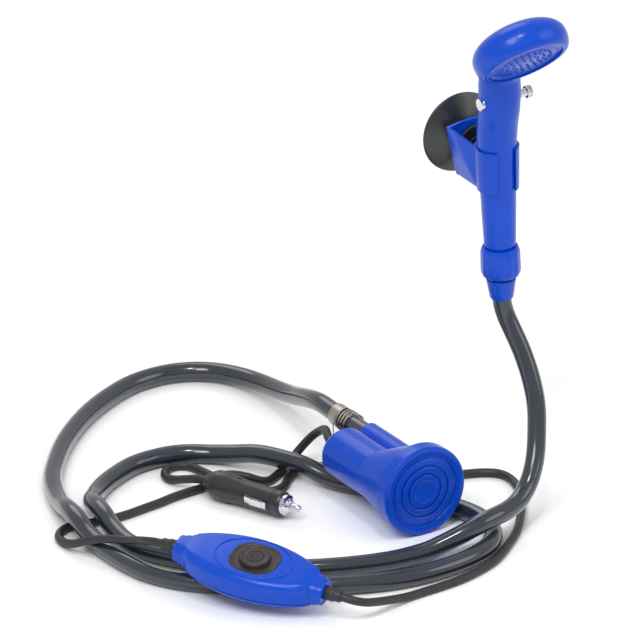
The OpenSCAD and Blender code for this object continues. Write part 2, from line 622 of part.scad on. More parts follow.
// pump: strainer cap, volute, motor and rear cap on an offset axis
spigot_front = cap_t + 5.5;
screw_deep = 10;
spigot_pump_r = flare_r - cap_t - 1;
chamber_end = cap_len + gap + 13;
can_at = house_end - 4 - can_len;
module on_motor(s) {
    translate([-motor_drop, -motor_off, s]) children();
}
module on_duct(s) {
    translate([duct_rise, duct_off, s]) children();
}
module pump_housing() {
    color(blue) at_pump() difference() {
        union() {
            translate([0, 0, spigot_front]) cylinder(h = cap_len, r = spigot_pump_r);
            translate([0, 0, cap_len + gap]) cylinder(h = 3, r = flare_r);
            hull() {
                translate([0, 0, cap_len + gap + 3 - thin]) cylinder(h = thin, r = flare_r - 0.2, $fn = 64);
                on_motor(flare_end) cylinder(h = thin, r = motor_house_r + 0.1, $fn = 64);
            }
            on_motor(flare_end) cylinder(h = house_end - flare_end, r = motor_house_r);
            on_duct(chamber_end) cylinder(h = duct_end - chamber_end, r = duct_r);
            hull() {
                on_motor(flare_end) cylinder(h = house_end - flare_end - 6, r = motor_house_r * 0.45, $fn = 32);
                on_duct(flare_end) cylinder(h = house_end - flare_end - 6, r = duct_r * 0.6, $fn = 32);
            }
        }
        translate([0, 0, spigot_front - cut]) linear_extrude(chamber_end - spigot_front + cut) union() {
            translate([-motor_drop, -motor_off]) circle(r = imp_r + 4);
            translate([duct_rise, duct_off]) circle(r = duct_r - 3.3);
            translate([duct_rise - duct_r + 3.3, -motor_off]) square([2 * (duct_r - 3.3), duct_off + motor_off]);
        }
        on_duct(chamber_end - cut) cylinder(h = duct_end - chamber_end + 2 * cut, r = duct_r - 3.3);
        on_motor(can_at) cylinder(h = house_end - can_at + cut, r = can_r + 0.6);
        on_motor(chamber_end - cut) cylinder(h = can_at - chamber_end + 2 * cut, r = shaft_r + 3.5 + slip);
        for (k = [0:3]) rotate(45 + 90 * k) translate([spigot_pump_r - 3, 0, spigot_front - cut])
            cylinder(h = screw_deep + 1 + cut, r = 1.3 + slip, $fn = 24);
    }
}
plate_v = 2;
module volute_plate() {
    color(black) at_pump() difference() {
        translate([0, 0, spigot_front - plate_v]) cylinder(h = plate_v, r = spigot_pump_r);
        on_motor(spigot_front - plate_v - cut) cylinder(h = plate_v + 2 * cut, r = imp_r * 0.5);
        for (k = [0:3]) rotate(45 + 90 * k) translate([spigot_pump_r - 3, 0, spigot_front - plate_v - cut])
            cylinder(h = plate_v + 2 * cut, r = 1.3 + slip, $fn = 24);
    }
}
screw_head = 1.6;
module volute_screws() {
    color(steel) at_pump() for (k = [0:3]) rotate(45 + 90 * k) translate([spigot_pump_r - 3, 0, 0]) {
        translate([0, 0, spigot_front - plate_v - screw_head]) cylinder(h = screw_head, r = 2.5, $fn = 24);
        translate([0, 0, spigot_front - plate_v - thin]) cylinder(h = plate_v + screw_deep, r = 1.3, $fn = 24);
    }
}
module strainer_cap() {
    color(blue) at_pump() difference() {
        union() {
            rotate_extrude() polygon([[0, 0.8], [cap_r * 0.3, 0.8], [cap_r * 0.3, 0], [cap_r * 0.42, 0],
                [cap_r * 0.42, 1], [cap_r * 0.55, 1], [cap_r * 0.55, 0.2], [cap_r * 0.66, 0.2],
                [cap_r * 0.66, 1.2], [cap_r * 0.78, 1.2], [cap_r * 0.8, 0], [cap_r - 2, 0],
                [cap_r, 2], [cap_r, cap_len], [0, cap_len]]);
        }
        translate([0, 0, cap_t]) cylinder(h = cap_len, r = spigot_pump_r + gap);
        for (k = [0:11]) rotate(30 * k) translate([cap_r * 0.445, -1, -cut]) cube([cap_r * 0.08, 2, cap_t + 2 * cut]);
        for (k = [0:17]) rotate(20 * k) translate([cap_r * 0.68, -1.1, -cut]) cube([cap_r * 0.08, 2.2, cap_t + 2 * cut]);
    }
}
module impeller() {
    color(black) at_pump() on_motor(0) difference() {
        union() {
            translate([0, 0, chamber_end - 3]) cylinder(h = 2, r = imp_r);
            translate([0, 0, spigot_front + 1.5]) cylinder(h = chamber_end - spigot_front - 3, r = shaft_r + 2);
            for (k = [0:5]) rotate(60 * k) translate([shaft_r + 1, -0.6, spigot_front + 2])
                cube([imp_r - shaft_r - 2, 1.2, chamber_end - spigot_front - 4.5]);
        }
        translate([0, 0, spigot_front]) cylinder(h = chamber_end, r = shaft_r);
    }
}
module motor_shaft() {
    color(steel) at_pump() on_motor(spigot_front + 1.5)
        cylinder(h = house_end - spigot_front - 4.5, r = shaft_r);
}
bush_l = 5;
module shaft_bushes() {
    color(brass) at_pump() for (s = [can_at + 2, can_at + can_len - 2 - bush_l]) on_motor(s) difference() {
        cylinder(h = bush_l, r = shaft_r + 2);
        translate([0, 0, -cut]) cylinder(h = bush_l + 2 * cut, r = shaft_r + slip);
    }
}
module shaft_seal() {
    color(rubber) at_pump() on_motor(chamber_end + 1) difference() {
        cylinder(h = can_at - chamber_end - 1.5, r = shaft_r + 3.5);
        translate([0, 0, -cut]) cylinder(h = can_at - chamber_end + 2, r = shaft_r + slip);
    }
}
module motor_can() {
    color(steel) at_pump() on_motor(can_at) difference() {
        cylinder(h = can_len, r = can_r);
        translate([0, 0, 2]) cylinder(h = can_len - 4, r = can_r - 1.5);
        translate([0, 0, -cut]) cylinder(h = can_len + 2 * cut, r = shaft_r + 1);
    }
    color(steel) at_pump() for (s = [can_at + 2 - slip, can_at + can_len - 2 - bush_l]) on_motor(s) difference() {
        cylinder(h = bush_l + slip, r = shaft_r + 4);
        translate([0, 0, -cut]) cylinder(h = bush_l + 2 * cut, r = shaft_r + 2 + slip);
    }
}
module motor_rotor() {
    color(brass) at_pump() on_motor(can_at + 2 + bush_l + 1) difference() {
        cylinder(h = can_len - 2 * bush_l - 6, r = can_r - 4.5);
        translate([0, 0, -cut]) cylinder(h = can_len, r = shaft_r);
        for (k = [0:4]) rotate(72 * k) translate([can_r - 8, -1, -cut]) cube([6, 2, can_len]);
    }
}
rear_end = house_end + rear_len;
module pump_end_cap() {
    color(blue) at_pump() on_motor(0) difference() {
        rotate_extrude() polygon([[0, house_end - 3.5], [can_r + 0.5, house_end - 3.5], [can_r + 0.5, house_end],
            [motor_house_r, house_end], [motor_house_r, rear_end - 4], [motor_house_r - 2.5, rear_end], [0, rear_end]]);
        translate([0, 0, house_end - 4.5]) cylinder(h = rear_len + 4.5 - 3, r = can_r - 3);
        translate([0, 0, house_end]) cylinder(h = rear_len + cut, r = gland_r - 1 + slip);
        translate([duct_rise + motor_drop, duct_off + motor_off, house_end])
            cylinder(h = rear_len + cut, r = duct_r + gap);
        translate([0, 0, house_end - 2.5]) difference() {
            cylinder(h = 1.6, r = can_r + 2);
            translate([0, 0, -cut]) cylinder(h = 4, r = can_r - 0.6);
        }
    }
}
module cap_oring() {
    color(rubber) at_pump() on_motor(house_end - 2.45) difference() {
        cylinder(h = 1.5, r = can_r + 0.55);
        translate([0, 0, -cut]) cylinder(h = 4, r = can_r - 0.6);
    }
}
module cable_gland() {
    color(black) at_pump() on_motor(0) difference() {
        union() {
            translate([0, 0, rear_end]) cylinder(h = gland_len, r = gland_r);
            translate([0, 0, rear_end - 3]) cylinder(h = 4, r = gland_r - 1);
            translate([0, 0, rear_end - 5]) cylinder(h = 2, r = gland_r + 2);
        }
        translate([0, 0, rear_end - 6]) cylinder(h = gland_len + 8, r = 2.4);
    }
}
module outlet_barb() {
    color(black) at_duct() translate([0, 0, duct_end - 22]) difference() {
        cylinder(h = 22, r = duct_r - 3.3 - slip);
        translate([0, 0, -cut]) cylinder(h = 24, r = 4.5);
    }
}

// in-line switch: two shells, a pad with a push button and two grommets
sw_drop = 12.5;
sw_arc = (sw_half * sw_half + sw_drop * sw_drop) / (2 * sw_drop);
sw_span = 2 * sw_half;
function sw_wide(x) = sqrt(sw_arc * sw_arc - x * x) - sw_arc + sw_w;
function sw_high(x) = sw_h - 1.5 * (x / sw_half) * (x / sw_half);
module section(x, w, h, r) {
    for (sy = [-1, 1], sz = [-1, 1]) translate([x, sy * (w - r), sz * (h - r)])
        rotate([0, 90, 0]) cylinder(h = 0.01, r = r, $fn = 32);
}
module switch_hull(inset) {
    hull() for (k = [-3:3]) let (x = k * (sw_half - inset) / 3)
        section(x, sw_wide(x) - inset, sw_high(x) - inset, 10.5 - inset);
}
module switch_collars(inset) {
    for (side = [-1, 1]) hull() {
        section(side * (sw_half - 4), sw_collar_w + 0.8 - inset, 10 - inset, 8.6 - inset);
        section(side * (sw_half + sw_collar - (inset > 0 ? sw_wall + 0.01 : 0.01)), sw_collar_w - inset, 9.4 - inset, 8.6 - inset);
    }
}
module oval(l, w, h, r) {
    linear_extrude(h) union() {
        square([l - 2 * r, w], center = true);
        square([l, w - 2 * r], center = true);
        for (sx = [-1, 1], sy = [-1, 1]) translate([sx * (l / 2 - r), sy * (w / 2 - r)]) circle(r = r);
    }
}
screw_x = 43;
pad_corner = 15;
boss_r = 4;
pad_top = sw_h - 0.6;
pad_t = 3.4;
pad_foot = pad_top - pad_t;
module switch_top_shell() {
    color(blue) at_switch() {
        difference() {
            intersection() {
                union() {
                    switch_hull(0);
                    switch_collars(0);
                }
                translate([-sw_span, -sw_span / 2, sw_seam]) cube([2 * sw_span, sw_span, sw_span]);
            }
            switch_hull(sw_wall);
            switch_collars(sw_wall);
            translate([-pad_x, 0, 0]) oval(pad_l, pad_w, 50, pad_corner);
            translate([-sw_span, 0, 0]) rotate([0, 90, 0]) cylinder(h = 2 * sw_span, r = grommet_r - 0.8);
        }
        difference() {
            for (side = [-1, 1]) translate([side * screw_x, 0, sw_seam]) cylinder(h = sw_h - 3 - sw_seam, r = boss_r);
            for (side = [-1, 1]) translate([side * screw_x, 0, sw_seam - cut]) cylinder(h = 10, r = 1.4, $fn = 24);
        }
    }
}
block_top = 1;
block_foot = -9;
block_l = 22;
block_w = 16;
module switch_bottom_shell() {
    color(blue) at_switch() {
        difference() {
            intersection() {
                union() {
                    switch_hull(0);
                    switch_collars(0);
                }
                translate([-sw_span, -sw_span / 2, sw_seam - sw_span]) cube([2 * sw_span, sw_span, sw_span]);
            }
            switch_hull(sw_wall);
            switch_collars(sw_wall);
            translate([-sw_span, 0, 0]) rotate([0, 90, 0]) cylinder(h = 2 * sw_span, r = grommet_r - 0.8);
            for (side = [-1, 1]) translate([side * screw_x, 0, -sw_h - cut]) {
                cylinder(h = 3.2 + cut, r = 3.2);
                cylinder(h = 6, r = 1.4 + slip, $fn = 24);
            }
        }
        difference() {
            for (side = [-1, 1]) translate([side * screw_x, 0, -sw_h + 3.2]) cylinder(h = sw_seam + sw_h - 3.2, r = boss_r);
            for (side = [-1, 1]) translate([side * screw_x, 0, -sw_h]) cylinder(h = sw_h, r = 1.4 + slip, $fn = 24);
        }
        for (side = [-1, 1]) translate([-pad_x + side * 8 - 1, -block_w / 2, -sw_h + sw_wall - 0.3])
            cube([2, block_w, block_foot + sw_h - sw_wall + 0.3]);
    }
}
module switch_screws() {
    color(steel) at_switch() for (side = [-1, 1]) translate([side * screw_x, 0, 0]) {
        translate([0, 0, -sw_h + 1.2]) cylinder(h = 2, r = 2.9, $fn = 24);
        translate([0, 0, -sw_h + 3.2 - thin]) cylinder(h = sw_seam + sw_h + 4, r = 1.35, $fn = 24);
    }
}
module button_pad() {
    color(pad_black) at_switch() translate([-pad_x, 0, 0]) difference() {
        union() {
            translate([0, 0, pad_foot]) oval(pad_l - 0.2, pad_w - 0.2, pad_t, pad_corner);
            translate([0, 0, pad_foot]) cube([pad_l + 5, block_w, 1.2], center = true);
        }
        translate([0, 0, pad_foot - 2]) cylinder(h = 20, r = button_r + gap);
    }
}
skirt_top = pad_foot - 0.6 - gap;
module switch_button() {
    color(pad_black) at_switch() translate([-pad_x, 0, 0]) {
        rotate_extrude() polygon([[0, skirt_top - 1.5], [button_r + 1.5, skirt_top - 1.5],
            [button_r + 1.5, skirt_top], [button_r, skirt_top], [button_r, pad_top + button_rise - 1],
            [button_r - 1, pad_top + button_rise], [5.6, pad_top + button_rise],
            [5.4, pad_top + button_rise + 0.4], [4.8, pad_top + button_rise + 0.4],
            [4.6, pad_top + button_rise], [0, pad_top + button_rise]]);
        translate([0, 0, block_top + button_travel + gap])
            cylinder(h = skirt_top - block_top - button_travel - gap - 1, r = 3);
    }
}
module switch_spring() {
    color(steel) at_switch() translate([-pad_x, 0, block_top]) difference() {
        cylinder(h = skirt_top - 1.5 - button_travel - gap - block_top, r = 6);
        translate([0, 0, -cut]) cylinder(h = 20, r = 5);
    }
}
module switch_block() {
    color(black) at_switch() translate([-pad_x - block_l / 2, -block_w / 2, block_foot])
        cube([block_l, block_w, block_top - block_foot]);
}
module switch_contacts() {
    color(brass) at_switch() for (side = [-1, 1])
        translate([-pad_x + side * (block_l / 2 + 3), 0, -4]) cube([6, 4, 0.8], center = true);
}
module grommet(side) {
    face = sw_half + sw_collar;
    color(rubber) at_switch() rotate([0, side * 90, 0]) difference() {
        union() {
            translate([0, 0, face]) cylinder(h = grommet_len, r1 = grommet_r + 0.5, r2 = grommet_r - 0.4);
            translate([0, 0, face - sw_wall - 2]) cylinder(h = sw_wall + 3, r = grommet_r - 0.8 - slip);
            translate([0, 0, face - sw_wall - 2]) cylinder(h = 2 - slip, r = grommet_r + 1);
        }
        translate([0, 0, face - 10]) cylinder(h = grommet_len + 12, r = 2.4);
    }
}
module left_grommet() {
    grommet(-1);
}
module right_grommet() {
    grommet(1);
}

// plug: two shells round a fuse, a sprung tip and two side contacts
side_at = 43;
side_out = barrel_r + side_rise;
tail_r = 5.2;
relief_len = 14;
module plug_outline() {
    rotate([0, 90, 0]) rotate_extrude() polygon([[0, 0], [tail_r + 1.3, 0], [9.5, 5], [grip_r - 0.6, 10],
        [grip_r, 15], [grip_r, 20], [grip_r - 1, 28], [barrel_r, 38],
        [barrel_r, 66.6], [barrel_r - 0.4, 66.8], [barrel_r - 0.4, 67.4], [barrel_r, 67.6], [barrel_r, shell_len - 2],
        [barrel_r - 1, shell_len], [0, shell_len]]);
}
module plug_hollow() {
    rotate([0, 90, 0]) {
        translate([0, 0, -cut]) cylinder(h = 6 + cut, r = tail_r);
        translate([0, 0, 6]) cylinder(h = relief_len - 5.9, r = tail_r + 1.8);
        translate([0, 0, relief_len - 0.1]) cylinder(h = side_at - relief_len - 1, r = barrel_r - plug_wall);
        translate([0, 0, side_at - 2]) cylinder(h = shell_len - side_at + 2 + cut, r = barrel_r - plug_wall - 0.6);
    }
    for (side = [-1, 1]) translate([side_at - gap, side > 0 ? 4 : -24, -side_w / 2 - gap])
        cube([side_len + 2 * gap, 20, side_w + 2 * gap]);
    translate([32, 0, -20]) cylinder(h = 40, r = 1.3, $fn = 24);
    translate([32, 0, -grip_r]) cylinder(h = grip_r - barrel_r + 3.4, r = 2.6, $fn = 24);
}
// two ribs in the shells that carry the fuse
module fuse_ribs() {
    rotate([0, 90, 0]) for (x = [side_at - 3.5, fuse_end - 3]) translate([0, 0, x]) difference() {
        cylinder(h = 2, r = barrel_r - plug_wall + (x < side_at ? 0.3 : -0.3));
        translate([0, 0, -cut]) cylinder(h = 2 + 2 * cut, r = fuse_d / 2 + 0.1);
    }
}
module plug_top_shell() {
    color(black) at_plug() difference() {
        union() {
            difference() {
                plug_outline();
                plug_hollow();
            }
            fuse_ribs();
        }
        translate([-10, -30, -60]) cube([120, 60, 60]);
        translate([32, 0, 0]) cylinder(h = 5, r = 2.6, $fn = 24);
    }
}
module plug_bottom_shell() {
    color(black) at_plug() difference() {
        union() {
            difference() {
                plug_outline();
                plug_hollow();
            }
            fuse_ribs();
        }
        translate([-10, -30, 0]) cube([120, 60, 60]);
    }
}
module plug_screw() {
    color(steel) at_plug() translate([32, 0, 0]) {
        translate([0, 0, 3.4 - barrel_r - 1.8]) cylinder(h = 1.8, r = 2.4, $fn = 24);
        translate([0, 0, 3.4 - barrel_r - thin]) cylinder(h = 2 * barrel_r - 4.5, r = 1.25, $fn = 24);
    }
}
module plug_ring_nut() {
    nose = shell_len + ring_len;
    color(chrome) at_plug() rotate([0, 90, 0]) difference() {
        rotate_extrude() polygon([[0, shell_len - 6], [barrel_r - plug_wall - 0.65, shell_len - 6],
            [barrel_r - plug_wall - 0.65, shell_len], [ring_r, shell_len], [ring_r, shell_len + 3],
            [ring_r - 1, shell_len + 3.6], [ring_r - 2.4, shell_len + 4], [tip_r + 1.8, nose - 0.6],
            [tip_r + 1.2, nose], [0, nose]]);
        translate([0, 0, shell_len - 7]) cylinder(h = ring_len + 8, r = tip_r + slip);
        translate([0, 0, shell_len - 7]) cylinder(h = 7, r = tip_r + 1.4);
    }
}
tip_flange = 2;
tip_back = shell_len - tip_flange;
fuse_end = tip_back - 5;
module plug_tip() {
    nose = shell_len + ring_len + tip_len;
    color(chrome) at_plug() rotate([0, 90, 0]) rotate_extrude() polygon([[0, tip_back],
        [tip_r + 1.2, tip_back], [tip_r + 1.2, shell_len], [tip_r, shell_len], [tip_r, nose - 3],
        [tip_r * 0.8, nose - 1.2], [tip_r * 0.45, nose - 0.3], [0, nose]]);
}
module tip_spring() {
    color(steel) at_plug() rotate([0, 90, 0]) translate([0, 0, fuse_end]) difference() {
        cylinder(h = tip_back - fuse_end - tip_travel - gap, r = tip_r);
        translate([0, 0, -cut]) cylinder(h = 20, r = tip_r - 1);
    }
}
module fuse() {
    color(chrome) at_plug() rotate([0, 90, 0]) translate([0, 0, fuse_end - fuse_len])
        cylinder(h = fuse_len, r = fuse_d / 2);
}
module side_contact(side) {
    color(chrome) at_plug() intersection() {
        rotate([0, 90, 0]) difference() {
            union() {
                translate([0, 0, side_at]) cylinder(h = side_len, r1 = barrel_r - 0.4, r2 = side_out);
                translate([0, 0, side_at + 6]) cylinder(h = side_len - 10, r = side_out);
            }
            translate([0, 0, side_at - cut]) cylinder(h = side_len + 2 * cut, r = barrel_r - 1.6);
        }
        translate([side_at, side > 0 ? 0 : -20, -side_w / 2]) cube([side_len, 20, side_w]);
    }
}
module side_contact_left() {
    side_contact(1);
}
module side_contact_right() {
    side_contact(-1);
}
module plug_strain_relief() {
    color(rubber) at_plug() rotate([0, 90, 0]) difference() {
        union() {
            cylinder(h = 6.1, r = tail_r - slip);
            translate([0, 0, 6.1]) cylinder(h = relief_len - 6.2, r = tail_r + 1.7);
        }
        translate([0, 0, -cut]) cylinder(h = relief_len + 2, r = 2);
    }
}

// the two cords
switch_end = sw_half + sw_collar + grommet_len;
plug_cord_route = concat([plug_at], lifted(plug_cord_points), [switch_pt([switch_end, 0, 0])]);
pump_cord_route = concat([switch_pt([-switch_end, 0, 0])], lifted(pump_cord_points),
    [pump_pt([-motor_drop, -motor_off, rear_end + gland_len])]);
module cord_plug_to_switch() {
    color(black) tube(plug_cord_route, plug_dir([-1, 0, 0]), switch_dir([-1, 0, 0]), cord_od / 2, 8);
}
module cord_switch_to_pump() {
    color(black) tube(pump_cord_route, switch_dir([-1, 0, 0]), pump_dir([0, 0, -1]), cord_od / 2, 8);
}

handset_shell();
spray_plate();
spray_plate_seal();
flow_pin();
flow_pin_orings();
hose_tail();
nut_washer();
hose_sleeve();
union_nut();
holder_bracket();
suction_cup();
cup_stud();
hose();
hose_clamp_band();
clamp_spring();
tie_wire();
pump_housing();
volute_plate();
strainer_cap();
impeller();
motor_shaft();
motor_can();
motor_rotor();
shaft_bushes();
shaft_seal();
pump_end_cap();
cable_gland();
cap_oring();
volute_screws();
outlet_barb();
switch_top_shell();
switch_bottom_shell();
switch_button();
button_pad();
switch_block();
switch_spring();
switch_contacts();
left_grommet();
right_grommet();
switch_screws();
plug_top_shell();
plug_bottom_shell();
plug_ring_nut();
plug_tip();
tip_spring();
fuse();
side_contact_left();
side_contact_right();
plug_strain_relief();
plug_screw();
cord_plug_to_switch();
cord_switch_to_pump();
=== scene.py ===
# %% [markdown]
# Camp shower pump: a handset hangs in a holder on a suction cup, a hose runs
# from it to a submersible pump, and two cords join the pump, an in-line switch
# and a plug for a vehicle socket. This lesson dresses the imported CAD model.
# The frame is loaded first, so every piece made here is placed in the same
# metres as the CAD, with no fitting by eye.

# %% Load the frame
import json
import math
import bmesh
import bpy
from mathutils import Matrix, Vector


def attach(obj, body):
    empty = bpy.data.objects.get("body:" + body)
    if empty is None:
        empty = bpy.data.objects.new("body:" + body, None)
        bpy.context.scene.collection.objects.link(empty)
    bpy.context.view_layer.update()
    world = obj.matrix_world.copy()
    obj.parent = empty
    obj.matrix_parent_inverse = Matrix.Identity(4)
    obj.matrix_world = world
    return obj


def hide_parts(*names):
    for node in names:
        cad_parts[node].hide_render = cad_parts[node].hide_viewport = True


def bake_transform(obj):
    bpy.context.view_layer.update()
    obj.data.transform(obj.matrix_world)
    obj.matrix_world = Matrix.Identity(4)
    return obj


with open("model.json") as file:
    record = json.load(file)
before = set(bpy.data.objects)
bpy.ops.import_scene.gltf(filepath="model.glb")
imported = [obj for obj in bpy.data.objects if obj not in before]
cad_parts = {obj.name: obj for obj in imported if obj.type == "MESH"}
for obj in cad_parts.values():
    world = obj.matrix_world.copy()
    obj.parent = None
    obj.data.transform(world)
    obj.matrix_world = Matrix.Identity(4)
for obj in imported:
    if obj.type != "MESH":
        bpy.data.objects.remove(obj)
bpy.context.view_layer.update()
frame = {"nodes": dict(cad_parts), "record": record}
nodes = frame["nodes"]
mm = 0.001
floor_z = -0.296

# %% [markdown]
# The photograph is taken from the front left and above, and parallel edges in
# it stay parallel. An orthographic camera shows the object in the same way:
# near and far parts keep one scale, here 0.8 mm for each picture point. A
# perspective camera far away would come close, but its scale would still
# change with depth.

# %% The camera
def linked(name, data):
    """Puts a new object that shows the given data into the scene."""
    obj = bpy.data.objects.new(name, data)
    bpy.context.collection.objects.link(obj)
    return obj


picture_points, point_size = 640, 0.8
camera_distance = 6
look_at = Vector((-0.1082, 0.0359, -0.156))
look_along = Vector((0.4532, 0.7849, -0.4226)).normalized()
camera_data = bpy.data.cameras.new("product_camera")
camera_data.type = "ORTHO"
camera_data.ortho_scale = picture_points * point_size * mm
camera_data.clip_end = 50
camera = linked("product_camera", camera_data)
camera.location = look_at - camera_distance * look_along
camera.rotation_euler = look_along.to_track_quat("-Z", "Y").to_euler()
bpy.context.scene.camera = camera
print("camera at", tuple(round(c, 3) for c in camera.location))

# %% [markdown]
# Pieces are turned into place by small frames, one for each unit of the
# object. Each frame is a matrix: it says where the unit stands and how it is
# turned, and the same values are in the part's source. Building a piece
# square to its own unit and moving its mesh at the end keeps the numbers easy.

# %% Frames of the units
def turned(degrees, axis):
    return Matrix.Rotation(math.radians(degrees), 4, axis)


def standing_at(x, y, height):
    return Matrix.Translation((x * mm, y * mm, floor_z + height * mm))


def moved(x, y, z):
    return Matrix.Translation(Vector((x, y, z)) * mm)


def point_on(unit, x, y, z):
    """A point of a unit, given in its own millimetres."""
    return unit @ (Vector((x, y, z)) * mm)


hung = turned(-2, "Y")
pump_frame = standing_at(-88.5, -98.5, 38) @ turned(-87, "Z") @ turned(-90, "Y")
switch_frame = (standing_at(-272, -139, 28) @ turned(-55.6, "Z")
                @ turned(5.5, "Y") @ turned(14, "X"))
print("pump faces", tuple(round(c, 3) for c in -pump_frame.to_3x3().col[2]))

# %% [markdown]
# Every mesh goes through the same few steps: the bmesh is moved into place,
# its normals are made to point outwards, and it becomes an object that sits at
# the origin, rides on a CAD body and names its material slot. Most pieces of
# this object are round, so a lathe that spins half an outline makes them. A
# rod is its simplest case, and serves for bores and stems.

# %% Helpers that finish a mesh
def mesh_from(name, bm):
    mesh = bpy.data.meshes.new(name)
    bm.to_mesh(mesh)
    bm.free()
    return mesh


def new_piece(name, bm, place, material, body, smooth=40):
    """Smooth is the angle in degrees from which an edge stays sharp."""
    bmesh.ops.remove_doubles(bm, verts=bm.verts, dist=1e-7)
    bmesh.ops.transform(bm, matrix=place, verts=bm.verts)
    bmesh.ops.recalc_face_normals(bm, faces=bm.faces)
    mesh = mesh_from(name, bm)
    mesh.materials.append(material)
    mesh.shade_smooth()
    mesh.set_sharp_from_angle(angle=math.radians(smooth))
    obj = linked(name, mesh)
    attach(obj, body)
    return obj


def lathe(profile, steps=72):
    """Spins a closed profile of (radius, height) in millimetres about Z."""
    bm = bmesh.new()
    verts = [bm.verts.new((r * mm, 0, z * mm)) for r, z in profile]
    edges = [bm.edges.new(pair) for pair in zip(verts, verts[1:] + verts[:1])]
    bmesh.ops.spin(bm, geom=verts + edges, cent=(0, 0, 0), axis=(0, 0, 1),
                   angle=math.tau, steps=steps, use_merge=True, use_duplicate=False)
    bmesh.ops.remove_doubles(bm, verts=bm.verts, dist=1e-6)
    bmesh.ops.recalc_face_normals(bm, faces=bm.faces)
    return bm


def rod(radius, low, high, steps):
    return lathe([(0, low), (radius, low), (radius, high), (0, high)], steps)


# %% [markdown]
# Plastic, rubber and metal share two small effects: the faint unevenness of a
# moulded skin, and the fine lines that drawing or turning leaves in metal.
# Each is a node group, made once, and every material sets its own amounts. A
# group gives out a colour, a roughness and a normal that change over the
# surface, and the shader itself stays in the material.

# %% Helpers for the node groups
noise_low, noise_high = 0.3, 0.7


def group_sockets(group, inputs):
    for name, kind, value in inputs:
        socket = group.interface.new_socket(name=name, in_out="INPUT", socket_type=kind)
        socket.default_value = value
    for name, kind in (("Colour", "NodeSocketColor"), ("Roughness", "NodeSocketFloat"),
                       ("Normal", "NodeSocketVector")):
        group.interface.new_socket(name=name, in_out="OUTPUT", socket_type=kind)
    return group.nodes.new("NodeGroupInput"), group.nodes.new("NodeGroupOutput")


def feed(tree, socket, source):
    """A socket takes either a plain number or a link."""
    if isinstance(source, (int, float)):
        socket.default_value = source
    else:
        tree.links.new(source, socket)


def noise(tree, vector, scale, detail=3.0):
    node = tree.nodes.new("ShaderNodeTexNoise")
    node.inputs["Detail"].default_value = detail
    feed(tree, node.inputs["Vector"], vector)
    feed(tree, node.inputs["Scale"], scale)
    return node.outputs["Fac"]


def spread(tree, value, low, high):
    """Stretches the usual range of a noise to the one from low to high."""
    node = tree.nodes.new("ShaderNodeMapRange")
    for name, source in (("From Min", noise_low), ("From Max", noise_high),
                         ("Value", value), ("To Min", low), ("To Max", high)):
        feed(tree, node.inputs[name], source)
    return node.outputs["Result"]


def mixed_colour(tree, mask, first, second, target):
    mix = tree.nodes.new("ShaderNodeMix")
    mix.data_type = "RGBA"
    tree.links.new(mask, mix.inputs["Factor"])
    tree.links.new(first, mix.inputs["A"])
    tree.links.new(second, mix.inputs["B"])
    tree.links.new(mix.outputs["Result"], target)


def bumped(tree, height, strength, distance, target):
    bump = tree.nodes.new("ShaderNodeBump")
    bump.inputs["Distance"].default_value = distance
    tree.links.new(height, bump.inputs["Height"])
    tree.links.new(strength, bump.inputs["Strength"])
    tree.links.new(bump.outputs["Normal"], target)


print("noise is stretched from", noise_low, "to", noise_high)

# %% [markdown]
# A moulded skin is never quite even: its colour drifts in wide clouds, its
# gloss in smaller patches, and a very fine grain breaks up the highlights. Each
# is a noise on the piece's own coordinates, so nothing slides when it moves.

# %% Node group: moulded skin
moulded_skin = bpy.data.node_groups.new("moulded_skin", "ShaderNodeTree")
skin_in, skin_out = group_sockets(moulded_skin, [
    ("Colour", "NodeSocketColor", (0.5, 0.5, 0.5, 1)),
    ("Shadow Colour", "NodeSocketColor", (0.4, 0.4, 0.4, 1)),
    ("Cloud Scale", "NodeSocketFloat", 18.0),
    ("Grain Scale", "NodeSocketFloat", 900.0),
    ("Smooth", "NodeSocketFloat", 0.2),
    ("Rough", "NodeSocketFloat", 0.3),
    ("Grain", "NodeSocketFloat", 0.05)])
skin_place = moulded_skin.nodes.new("ShaderNodeTexCoord").outputs["Object"]
clouds = noise(moulded_skin, skin_place, skin_in.outputs["Cloud Scale"])
grain = noise(moulded_skin, skin_place, skin_in.outputs["Grain Scale"], 2.0)
patches = noise(moulded_skin, skin_place, 60.0, 4.0)
mixed_colour(moulded_skin, spread(moulded_skin, clouds, 0.0, 1.0),
             skin_in.outputs["Shadow Colour"], skin_in.outputs["Colour"],
             skin_out.inputs["Colour"])
moulded_skin.links.new(
    spread(moulded_skin, patches, skin_in.outputs["Smooth"], skin_in.outputs["Rough"]),
    skin_out.inputs["Roughness"])
bumped(moulded_skin, grain, skin_in.outputs["Grain"], 0.0003, skin_out.inputs["Normal"])
print("node group", moulded_skin.name, len(moulded_skin.nodes), "nodes")

# %% [markdown]
# Drawn or turned metal carries fine lines in one direction. A noise that is
# stretched along one axis makes them, and a rounder noise dulls the colour in
# places, as handling does. A picture of scratches would need a UV map.

